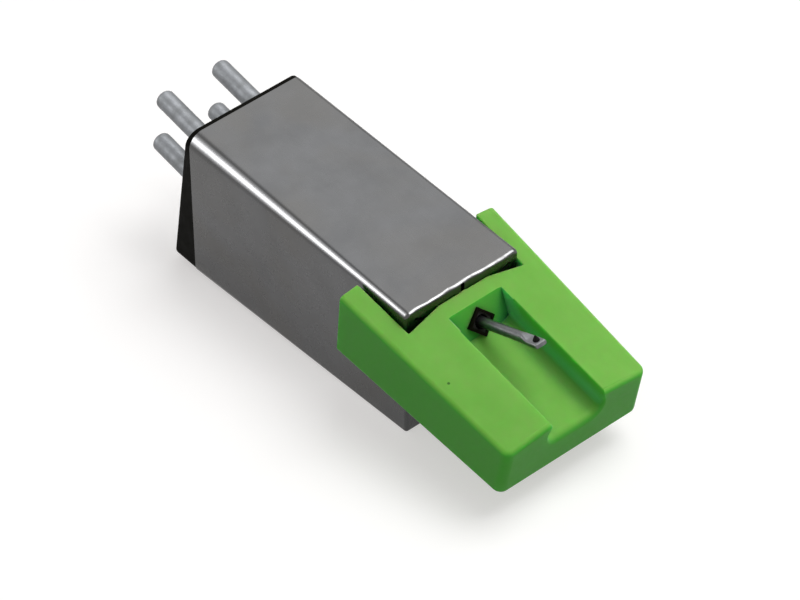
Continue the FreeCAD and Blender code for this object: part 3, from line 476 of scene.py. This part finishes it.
def loft(name, rings, closed=False):
    """A skin through rings of equally many points, with capped ends unless it closes on itself."""
    count = len(rings[0])
    rows = len(rings)
    faces = []
    for row in range(rows if closed else rows - 1):
        here = row * count
        after = (row + 1) % rows * count
        for step in range(count):
            beside = (step + 1) % count
            faces.append((here + step, here + beside, after + beside, after + step))
    if not closed:
        faces.append(tuple(range(count)))
        faces.append(tuple(range((rows - 1) * count, rows * count)))
    return new_shape(name, [point for ring in rings for point in ring], faces)


def settle(item):
    """Apply the item's modifiers to its mesh."""
    item.update_tag()
    graph = bpy.context.evaluated_depsgraph_get()
    mesh = bpy.data.meshes.new_from_object(item.evaluated_get(graph))
    item.modifiers.clear()
    item.data = mesh


def smooth_faces(item, limit=35):
    """Smooth shading that stops at creases, in degrees, and leaves broad flats flat."""
    item.data.shade_smooth()
    item.data.set_sharp_from_angle(angle=math.radians(limit))
    normals = item.modifiers.new("normals", "WEIGHTED_NORMAL")
    normals.keep_sharp = True


def stand_for(item, node, materials):
    """Let a piece take a CAD node's place, body and finish."""
    row = next(row for row in frame["record"]["subparts"] if row["node"] == node)
    bodies = frame["record"]["behaviour"]["bodies"]
    body = next(name for name, nodes in bodies.items() if node in nodes)
    item.data.materials.clear()
    item.data.materials.append(materials[row["material_slot"]])
    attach(item, body)
    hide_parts(node)


# The can and its cap

# Sizes in millimetres, as in the CAD model
CAN_LENGTH = 20.3 * math.cos(CAN_TAPER)
CAN_FRONT_HEIGHT = 9.8
CAN_REAR_HEIGHT = CAN_FRONT_HEIGHT + CAN_LENGTH * math.tan(CAN_TAPER)
CAN_HALF = 4.35
CAN_FRONT_Y = -10.15 - CAN_FRONT_HEIGHT * math.sin(CAN_TAPER)
CAN_FRONT_Z = CAN_FRONT_HEIGHT * math.cos(CAN_TAPER)
SHEET = 0.35
WINDOW = {"half": 2.3, "low": -6.75, "high": -1.35}
CAP_FLUSH = 0.04
CAP_TOP_LIP = 0.32
CAP_LOW_ROUND = 0.7
PLUG_DEPTH = 1.5
PLUG_GAP = 0.03

# Rounds of the photographed can: upper right, upper left, lower left, lower right
FRONT_CORNERS = (0.40, 0.42, 0.18, 0.18)
REAR_CORNERS = (0.50, 1.05, 0.85, 0.50)
SHARPEST_CORNER = 0.05
FRONT_BEND = 0.23
REAR_BREAK = 0.05
CAP_EDGE_ROUND = 0.14
CAP_SHARPEST_CORNER = 0.15
# How far the hand-folded front edge wanders, and how far below the top that reaches
FOLD_WANDER = 0.16
FOLD_FADE = 1.2


def can_point(across, along, up):
    """A point of the can frame, whose origin is the middle of the can's front top edge."""
    y = CAN_FRONT_Y + along * math.cos(CAN_TAPER) - up * math.sin(CAN_TAPER)
    z = CAN_FRONT_Z + along * math.sin(CAN_TAPER) + up * math.cos(CAN_TAPER)
    return Vector((across, y, z)) * MM


def unevenness(across, along, up):
    """How far the front's hand-folded top edge wanders, fading out within a millimetre or so."""
    fade = max(0.0, 1.0 - along) * max(0.0, 1.0 + up / FOLD_FADE)
    broad = noise.noise(Vector((across * 0.9, up * 0.9, 3.1)))
    fine = noise.noise(Vector((across * 2.6, up * 2.6, 7.7)))
    return FOLD_WANDER * fade * (broad + 0.5 * fine)


def can_ring(along, inset):
    """The can's section at a distance behind its front, inset from its skin."""
    height = CAN_FRONT_HEIGHT + along * math.tan(CAN_TAPER)
    share = along / CAN_LENGTH
    corners = tuple(
        max(front + (rear - front) * share - inset, SHARPEST_CORNER)
        for front, rear in zip(FRONT_CORNERS, REAR_CORNERS)
    )
    outline = rounded_outline(CAN_HALF - inset, inset - height, -inset, corners, FLAT_STEPS)
    return [can_point(across, along + unevenness(across, along, up), up) for across, up in outline]


def cut_out(item, outlines, along_from, along_to):
    """Cut outlines, given across and up, through the can's front wall."""
    points = []
    faces = []
    for outline in outlines:
        count = len(outline)
        near = len(points)
        far = near + count
        for along in (along_from, along_to):
            points += [can_point(across, along, up) for across, up in outline]
        faces.append(tuple(range(near, far)))
        faces.append(tuple(reversed(range(far, far + count))))
        for step in range(count):
            beside = (step + 1) % count
            faces.append((near + beside, near + step, far + step, far + beside))
    cutter = new_shape("cutter", points, faces)
    cut = item.modifiers.new("cut", "BOOLEAN")
    cut.operation = "DIFFERENCE"
    cut.solver = "EXACT"
    cut.object = cutter
    settle(item)
    bpy.data.objects.remove(cutter)


def lip_cuts():
    """Slanted slits that part the front's four lips, and the notch in the top one."""
    corner = 0.7
    half = 0.07
    notch = 0.15
    notch_top = -0.12
    above = (WINDOW["high"], -corner, 1)
    below = (WINDOW["low"], corner - CAN_FRONT_HEIGHT, -1)
    cuts = []
    for side in (-1, 1):
        for inner_up, outer_up, lean in (above, below):
            inner = side * (WINDOW["half"] - half)
            outer = side * (CAN_HALF - corner)
            slant = half * side * lean
            inner_up = inner_up - half * lean
            cut = [(inner - slant, inner_up + half), (inner + slant, inner_up - half)]
            cut += [(outer + slant, outer_up - half), (outer - slant, outer_up + half)]
            cuts.append(cut)
    notch_low = WINDOW["high"] - notch
    cuts.append([(-notch, notch_low), (notch, notch_low), (notch, notch_top), (-notch, notch_top)])
    return cuts


def make_can(materials):
    """The can: one sheet whose corners grow rounder towards the rear, turned in at the front."""
    rings = []
    bend_steps = 5
    for step in range(bend_steps):
        angle = math.radians(90 * step / bend_steps)
        along, inset = (FRONT_BEND * (1 - turn) for turn in (math.cos(angle), math.sin(angle)))
        rings.append(can_ring(along, inset))
    stations = 14
    span = CAN_LENGTH - REAR_BREAK - FRONT_BEND
    rings += [can_ring(FRONT_BEND + span * step / stations, 0.0) for step in range(stations + 1)]
    rings.append(can_ring(CAN_LENGTH, REAR_BREAK))
    rings.append(can_ring(CAN_LENGTH, SHEET))
    for step in range(stations - 1, -1, -1):
        rings.append(can_ring(SHEET + (CAN_LENGTH - SHEET) * step / stations, SHEET))
    window = rounded_outline(**WINDOW, radius=0.06, flats=FLAT_STEPS)
    for along in (SHEET, 0.0):
        rings.append([can_point(across, along, up) for across, up in window])
    can = loft("can_sheet", rings, closed=True)
    cut_out(can, lip_cuts(), along_from=-1.0, along_to=SHEET + 0.1)
    smooth_faces(can)
    stand_for(can, "shield_can", materials)


def cap_face(up):
    """How far behind the can's front the cap's tilted rear face lies at a height."""
    return CAN_LENGTH + CAP_TOP_LIP - up * math.tan(CAP_TILT)


def cap_ring(inset):
    """A ring on the cap's tilted rear face, inset from its outline and rounded off at its edges."""
    inset_here = CAP_FLUSH + inset
    corners = tuple(max(rear - inset_here, CAP_SHARPEST_CORNER) for rear in REAR_CORNERS)
    low, high = inset_here - CAN_REAR_HEIGHT, -inset_here
    ring = []
    for across, up in rounded_outline(CAN_HALF - inset_here, low, high, corners, FLAT_STEPS):
        under = max(0.0, CAP_LOW_ROUND - (up + CAN_REAR_HEIGHT - CAP_FLUSH))
        near = max(0.0, CAP_EDGE_ROUND - inset)
        low_drop = CAP_LOW_ROUND - math.sqrt(max(0.0, CAP_LOW_ROUND ** 2 - under ** 2))
        edge_drop = CAP_EDGE_ROUND - math.sqrt(CAP_EDGE_ROUND ** 2 - near ** 2)
        ring.append(can_point(across, cap_face(up) - max(low_drop, edge_drop), up))
    return ring


def make_cap(materials):
    """The black terminal block: a plug inside the can and a soft-edged wedge behind it."""
    fit = SHEET + PLUG_GAP
    rings = [can_ring(CAN_LENGTH - PLUG_DEPTH, fit), can_ring(CAN_LENGTH, fit)]
    rings.append(can_ring(CAN_LENGTH, CAP_FLUSH))
    insets = (0.0, 0.01, 0.03, 0.06, 0.10, 0.14, 0.20, 0.28, 0.38, 0.50, 0.64, 0.78)
    rings += [cap_ring(inset) for inset in insets]
    cap = loft("cap_block", rings)
    smooth_faces(cap)
    stand_for(cap, "rear_cap", materials)


# The terminal pins

# Sizes in millimetres, as in the CAD model but for the reach and the tip's round
PIN_ACROSS = 2.17
PIN_ROWS = {"upper": 2.45, "lower": 6.45}
PIN_RADIUS = 0.635
PIN_REACH = 4.76
PIN_TIP = 0.36
SHANK_HALF = 0.425
SHANK_ROUND = 0.1
SHANK_BREAK = 0.03
SHANK_END_ROUND = 0.08
SHANK_BEYOND = 0.8
PIN_WAYS = facing_rear(PIN_TILT)


def pin_ring(base, along, half, corner):
    """A ring round a pin's axis, at a distance out of the cap's rear face."""
    return ring_across(base, PIN_WAYS, along, rounded_outline(half, -half, half, corner))


def make_pin(name, side, down, materials):
    """A turned pin with a full round end, on a square shank that runs through the cap."""
    up = -down * math.cos(CAP_TILT)
    along = cap_face(up)
    base = can_point(PIN_ACROSS * side, along, up)
    tail = (along - CAN_LENGTH + PLUG_DEPTH) / math.cos(CAP_TILT) + SHANK_BEYOND
    seat = -0.05
    rings = [
        pin_ring(base, -tail, SHANK_HALF - SHANK_BREAK, SHANK_END_ROUND),
        pin_ring(base, SHANK_BREAK - tail, SHANK_HALF, SHANK_ROUND),
        pin_ring(base, seat, SHANK_HALF, SHANK_ROUND),
        pin_ring(base, seat, PIN_RADIUS, PIN_RADIUS),
    ]
    straight = 0.88 * PIN_REACH
    for step in range(1, 5):
        rings.append(pin_ring(base, straight * step / 4, PIN_RADIUS, PIN_RADIUS))
    tip_steps = 9
    flat = PIN_RADIUS - PIN_TIP
    for step in range(1, tip_steps):
        angle = math.radians(90 * step / tip_steps)
        here = flat + PIN_TIP * math.cos(angle)
        rings.append(pin_ring(base, PIN_REACH - PIN_TIP + PIN_TIP * math.sin(angle), here, here))
    rings.append(pin_ring(base, PIN_REACH, flat, flat))
    pin = loft(f"pin_{name}", rings)
    smooth_faces(pin)
    stand_for(pin, f"terminal_pin_{name}", materials)


def make_pins(materials):
    for row, down in PIN_ROWS.items():
        for column, side in (("left", -1), ("right", 1)):
            make_pin(f"{row}_{column}", side, down, materials)


# The stylus holder

HOLDER_ALONG, HOLDER_UP = facing_rear(HOLDER_TILT)
# The middle of the front edge of the channel's floor, and the channel's sizes, in millimetres
CHANNEL_FRONT = Vector((0, -20.5452, 4.5945))
CHANNEL_HALF = 2.025
CHANNEL_CORNER = 0.7
CHANNEL_DEPTH = 1.85
# Vertices further behind the front than this belong to the rear wall too
CHANNEL_REAR = 7.0
# Edges stay crisp within this half width, ahead of this y and above this z
CRISP_HALF = 2.45
CRISP_REAR_Y = -11.4
CRISP_LOW_Z = 3.0

# Rounds that the mesh adds: on the outer edges of at least an angle, and at the channel's mouth
EDGE_ROUND = 0.12
EDGE_ANGLE = math.radians(32)
MOUTH_ROUND = 0.55
# The share that the mouth's round loses at the walls, and the height over which it fades out
MOUTH_WALL_LOSS = 0.5
MOUTH_FADE = 0.9


def is_outer_edge(edge):
    """Whether an edge is rounded: all sharp ones but the channel's, which the mould left crisp."""
    if not edge.is_manifold or edge.calc_face_angle() < EDGE_ANGLE:
        return False
    middle = (edge.verts[0].co + edge.verts[1].co) / 2 / MM
    ahead = middle.y < CRISP_REAR_Y and middle.z > CRISP_LOW_Z
    return not (ahead and abs(middle.x) < CRISP_HALF)


def channel_place(vertex):
    """A vertex's distance behind the channel's front and above its floor, and its way out of it."""
    place = vertex.co / MM - CHANNEL_FRONT
    behind, above = place.dot(HOLDER_ALONG), place.dot(HOLDER_UP)
    flat = CHANNEL_HALF - CHANNEL_CORNER
    sideways = place.x - max(-flat, min(flat, place.x))
    return behind, above, Vector((sideways, min(above - CHANNEL_CORNER, 0.0)))


def on_channel(vertex):
    """Whether a vertex lies on the channel's floor, rounds or walls, to a few hundredths."""
    behind, above, way = channel_place(vertex)
    within = behind > -0.02 and above < CHANNEL_DEPTH + 0.05
    return within and abs(way.length - CHANNEL_CORNER) < 0.03


def is_channel_face(face):
    """Whether a face belongs to the channel's floor, rounds or walls, which all reach its front."""
    places = [(on_channel(vertex), channel_place(vertex)[0]) for vertex in face.verts]
    starts = any(on and behind < 1.0 for on, behind in places)
    stays = all(on or behind > CHANNEL_REAR for on, behind in places)
    return starts and stays and abs(face.normal.dot(HOLDER_ALONG)) < 0.1


def split_channel(work, way, distance):
    """Split the channel's floor, rounds and walls by a plane at a distance from its front."""
    chosen = [face for face in work.faces if is_channel_face(face)]
    parts = {part for face in chosen for part in (face, *face.edges, *face.verts)}
    origin = (CHANNEL_FRONT + way * distance) * MM
    bmesh.ops.bisect_plane(work, geom=list(parts), dist=1e-7, plane_co=origin, plane_no=way)


def open_mouth(work):
    """Round the channel's front edge like a bell's mouth, fading out towards its walls' tops."""
    for above in (0.85, 1.0, 1.15, 1.3, 1.45):
        split_channel(work, HOLDER_UP, above)
    steps = 6
    for step in range(steps):
        behind = MOUTH_ROUND * (1 - math.sin(math.radians(90 * step / steps)))
        split_channel(work, HOLDER_ALONG, behind)
    for vertex in [vertex for vertex in work.verts if on_channel(vertex)]:
        behind, above, way = channel_place(vertex)
        near = 1 - max(0.0, behind) / MOUTH_ROUND
        if near > 0:
            high = min(1.0, max(0.0, (above - CHANNEL_CORNER) / MOUTH_FADE))
            fade = (1 - high) ** 2 * (1 + 2 * high)
            fade *= 1 - MOUTH_WALL_LOSS * abs(way.x) / CHANNEL_CORNER
            depth = MOUTH_ROUND * (1 - math.sqrt(max(0.0, 1 - near * near))) * fade
            out = way.normalized() * depth
            vertex.co += (ACROSS * out.x + HOLDER_UP * out.y) * MM


def make_holder(materials):
    """The moulded holder, with the rounds on its edges that the CAD model leaves sharp."""
    holder = new_object("holder_moulding", frame["nodes"]["stylus_holder"].data.copy())
    work = bmesh.new()
    work.from_mesh(holder.data)
    bmesh.ops.remove_doubles(work, verts=work.verts, dist=0.002 * MM)
    bmesh.ops.dissolve_limit(
        work, angle_limit=math.radians(1.5), verts=work.verts, edges=work.edges
    )
    open_mouth(work)
    bmesh.ops.bevel(
        work,
        geom=[edge for edge in work.edges if is_outer_edge(edge)],
        offset=EDGE_ROUND * MM,
        offset_type="OFFSET",
        segments=3,
        profile=0.5,
        affect="EDGES",
    )
    work.to_mesh(holder.data)
    work.free()
    smooth_faces(holder, 20)
    stand_for(holder, "stylus_holder", materials)


# The cantilever, its stylus and its rubber

# The middle of the tube's mouth, and how far behind it the cantilever turns
TUBE_MOUTH = Vector((0, -12.604, 7.664)) * MM
PIVOT_DEPTH = 1.5
TUBE_WAYS = facing_front(TUBE_TILT)
# The photographed cantilever hangs lower than its tube points
CANTILEVER_DROOP = math.radians(3.2)
BAR_WAYS = facing_front(TUBE_TILT - CANTILEVER_DROOP)
# Distance ahead of the mouth, half width, half thickness and corner radius
BAR_SHAPE = (
    (-1.95, 0.33, 0.33, 0.33),
    (0.0, 0.33, 0.33, 0.33),
    (2.0, 0.33, 0.33, 0.33),
    (3.70, 0.33, 0.33, 0.33),
    (3.90, 0.335, 0.325, 0.30),
    (4.10, 0.345, 0.295, 0.25),
    (4.30, 0.370, 0.240, 0.19),
    (4.46, 0.395, 0.195, 0.15),
    (4.60, 0.410, 0.175, 0.13),
    (5.00, 0.415, 0.170, 0.12),
    (5.44, 0.410, 0.165, 0.12),
    (5.52, 0.395, 0.150, 0.11),
    (5.56, 0.365, 0.125, 0.10),
)
# The stone's distance ahead of the mouth, and its shape as height over the bar's axis and radius
STONE_AHEAD = 5.13
STONE_SHAPE = (
    (-0.19, 0.20),
    (-0.17, 0.21),
    (0.22, 0.21),
    (0.26, 0.19),
    (0.38, 0.115),
    (0.48, 0.045),
    (0.505, 0.02),
)


def make_cantilever(materials):
    """Drawn tube that is pressed flat at its end, with softly creased shoulders."""
    rings = [
        ring_across(TUBE_MOUTH, BAR_WAYS, ahead, rounded_outline(half, -thick, thick, corner))
        for ahead, half, thick, corner in BAR_SHAPE
    ]
    bar = loft("cantilever_bar", rings)
    smooth_faces(bar, 50)
    stand_for(bar, "cantilever", materials)


def make_stylus(materials):
    """Ground stone set through the flattened end: a short shank, a shoulder and a fine point."""
    ahead_way, up_way = BAR_WAYS
    foot = TUBE_MOUTH + ahead_way * STONE_AHEAD * MM
    rings = [
        ring_across(foot, (up_way, ahead_way), up, rounded_outline(radius, -radius, radius, radius))
        for up, radius in STONE_SHAPE
    ]
    stone = loft("stylus_stone", rings)
    smooth_faces(stone, 50)
    stand_for(stone, "stylus", materials)


def rubber_ring(ahead, size, square):
    """A ring round the tube's axis: a square on its edge, by its half side, or a circle."""
    count = 4 * CORNER_STEPS
    outline = []
    for step in range(count):
        angle = math.radians(360 * step / count)
        across, up = math.cos(angle), math.sin(angle)
        reach = size * math.sqrt(2) / (abs(across) + abs(up)) if square else size
        outline.append((reach * across, reach * up))
    return ring_across(TUBE_MOUTH, TUBE_WAYS, ahead, outline)


def make_damper(materials):
    """Rubber block round the cantilever, thinner at its ends to stay clear of it as it tilts."""
    outer, outer_curve = 0.508, 0.16
    inner, inner_curve = 0.332, 0.15
    places = [-0.45 + 0.15 * step for step in range(7)]
    rings = [
        rubber_ring(at - PIVOT_DEPTH, outer - outer_curve * at * at, square=True) for at in places
    ]
    rings += [
        rubber_ring(at - PIVOT_DEPTH, inner + inner_curve * at * at, square=False)
        for at in reversed(places)
    ]
    damper = loft("damper_block", rings, closed=True)
    smooth_faces(damper)
    stand_for(damper, "damper", materials)


def make_mouth_rubber(materials):
    """Rubber face round the cantilever, which closes the tube's mouth as in the photograph."""
    outer, inner = 0.515, 0.47
    front, rear = -0.06, -0.40
    rings = [rubber_ring(ahead, outer, square=True) for ahead in (front, rear)]
    rings += [rubber_ring(ahead, inner, square=False) for ahead in (rear, front)]
    rubber = loft("mouth_rubber", rings, closed=True)
    smooth_faces(rubber)
    rubber.data.materials.append(materials["damper_rubber"])
    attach(rubber, "stylus_unit")


# Studio

FLOOR_HALF = 0.6
# What the floor and the world give as light, and what they show straight on and in reflections
FLOOR_FILL, FLOOR_SEEN = 0.32, 0.56
WORLD_FILL, WORLD_SEEN = 0.36, 1.0
FLOOR_GLOW = 0.52
FLOOR_GLOW_COLOUR = (1.0, 0.975, 0.962, 1)
# The lamps aim at a point this high above the floor's middle, in metres
AIM_HEIGHT = 0.006

# The camera that fits the photograph, in pixels, degrees and millimetres
IMAGE_WIDTH = 800
FOCAL_LENGTH = 4500
SENSOR_WIDTH = 36
CAMERA_TURN = -37.056
CAMERA_RISE = 40.597
CAMERA_ROLL = -4.755
CAMERA_RIGHT, CAMERA_UP, CAMERA_BACK = 2.832, 1.187, 274.908


def seen_directly(tree):
    """1 for rays that show a background: straight from the camera, by a mirror or through glass."""
    path = add_node(tree, "ShaderNodeLightPath")
    total = path.outputs["Is Camera Ray"]
    for name in ("Is Glossy Ray", "Is Transmission Ray"):
        either = add_node(tree, "ShaderNodeMath", operation="MAXIMUM")
        tree.links.new(total, either.inputs[0])
        tree.links.new(path.outputs[name], either.inputs[1])
        total = either.outputs[0]
    return total


def filled_or_seen(tree, fill, seen):
    """One number for rays that only light the part and another for those that show a background."""
    level = add_node(tree, "ShaderNodeMapRange")
    tree.links.new(seen_directly(tree), level.inputs["Value"])
    level.inputs["To Min"].default_value = fill
    level.inputs["To Max"].default_value = seen
    return level.outputs["Result"]


def make_floor():
    """Pale floor that keeps the soft shadow and is white where the light reaches it."""
    mesh = bpy.data.meshes.new("floor")
    corners = [(FLOOR_HALF * x, FLOOR_HALF * y, 0) for x, y in ((-1, -1), (1, -1), (1, 1), (-1, 1))]
    mesh.from_pydata(corners, [], [(0, 1, 2, 3)])
    floor = new_object("floor", mesh)
    material = bpy.data.materials.new("floor")
    material.use_nodes = True
    tree = material.node_tree
    tree.nodes.clear()
    diffuse = add_node(tree, "ShaderNodeBsdfDiffuse")
    tree.links.new(filled_or_seen(tree, FLOOR_FILL, FLOOR_SEEN), diffuse.inputs["Color"])
    glow = add_node(tree, "ShaderNodeEmission")
    glow.inputs["Color"].default_value = FLOOR_GLOW_COLOUR
    tree.links.new(filled_or_seen(tree, 0.0, FLOOR_GLOW), glow.inputs["Strength"])
    both = add_node(tree, "ShaderNodeAddShader")
    tree.links.new(diffuse.outputs[0], both.inputs[0])
    tree.links.new(glow.outputs[0], both.inputs[1])
    output = add_node(tree, "ShaderNodeOutputMaterial")
    tree.links.new(both.outputs[0], output.inputs["Surface"])
    mesh.materials.append(material)


def make_world():
    """White where it is seen, softer as fill light."""
    world = bpy.data.worlds.new("studio")
    scene.world = world
    world.use_nodes = True
    tree = world.node_tree
    background = tree.nodes["Background"]
    background.inputs["Color"].default_value = (1, 1, 1, 1)
    strength = filled_or_seen(tree, WORLD_FILL, WORLD_SEEN)
    tree.links.new(strength, background.inputs["Strength"])


def softbox(name, direction, distance, width, height, radiance, gloss_only=False):
    """Rectangular lamp that faces the part from a direction, as bright all over as radiance."""
    lamp = bpy.data.lights.new(name, "AREA")
    lamp.shape = "RECTANGLE"
    lamp.size = width
    lamp.size_y = height
    lamp.energy = radiance * math.pi * width * height
    box = new_object(name, lamp)
    towards = Vector(direction).normalized()
    box.location = towards * distance + Vector((0, 0, AIM_HEIGHT))
    box.rotation_euler = towards.to_track_quat("Z", "Y").to_euler()
    box.visible_diffuse = not gloss_only


def make_lamps():
    """One lamp for the light and three that only the glossy faces and edges mirror."""
    softbox("lamp_key", (0.34, -0.24, 1.0), 0.8, 0.50, 0.50, 5.9)
    softbox("lamp_top_gloss", (0.457, 0.484, 0.745), 0.8, 0.60, 0.60, 1.5, gloss_only=True)
    softbox("lamp_left_edge", (-0.651, 0.606, 0.458), 0.7, 0.46, 0.30, 3.8, gloss_only=True)
    softbox("lamp_front_edge", (0.458, -0.651, 0.606), 0.7, 0.30, 0.46, 3.8, gloss_only=True)


def make_camera():
    """The photograph's viewpoint, fitted to the can's edges."""
    turn, rise, roll = (math.radians(angle) for angle in (CAMERA_TURN, CAMERA_RISE, CAMERA_ROLL))
    level = math.cos(rise)
    back = Vector((math.sin(turn) * level, -math.cos(turn) * level, math.sin(rise)))
    right = Vector((math.cos(turn), math.sin(turn), 0))
    up = back.cross(right)
    right, up = (
        right * math.cos(roll) + up * math.sin(roll),
        up * math.cos(roll) - right * math.sin(roll),
    )
    camera = bpy.data.cameras.new("camera")
    camera.sensor_width = SENSOR_WIDTH
    camera.lens = SENSOR_WIDTH * FOCAL_LENGTH / IMAGE_WIDTH
    camera.clip_start = 0.01
    viewer = new_object("camera", camera)
    place = (CAMERA_RIGHT * right + CAMERA_UP * up + CAMERA_BACK * back) * MM
    turned = Matrix((right, up, back)).transposed().to_4x4()
    viewer.matrix_world = Matrix.Translation(place) @ turned
    scene.camera = viewer


finishes = make_materials()
dress_nodes(finishes)
make_can(finishes)
make_cap(finishes)
make_pins(finishes)
make_holder(finishes)
make_cantilever(finishes)
make_stylus(finishes)
make_damper(finishes)
make_mouth_rubber(finishes)
make_floor()
make_world()
make_lamps()
make_camera()
scene.view_settings.view_transform = "Standard"

bpy.context.view_layer.update()
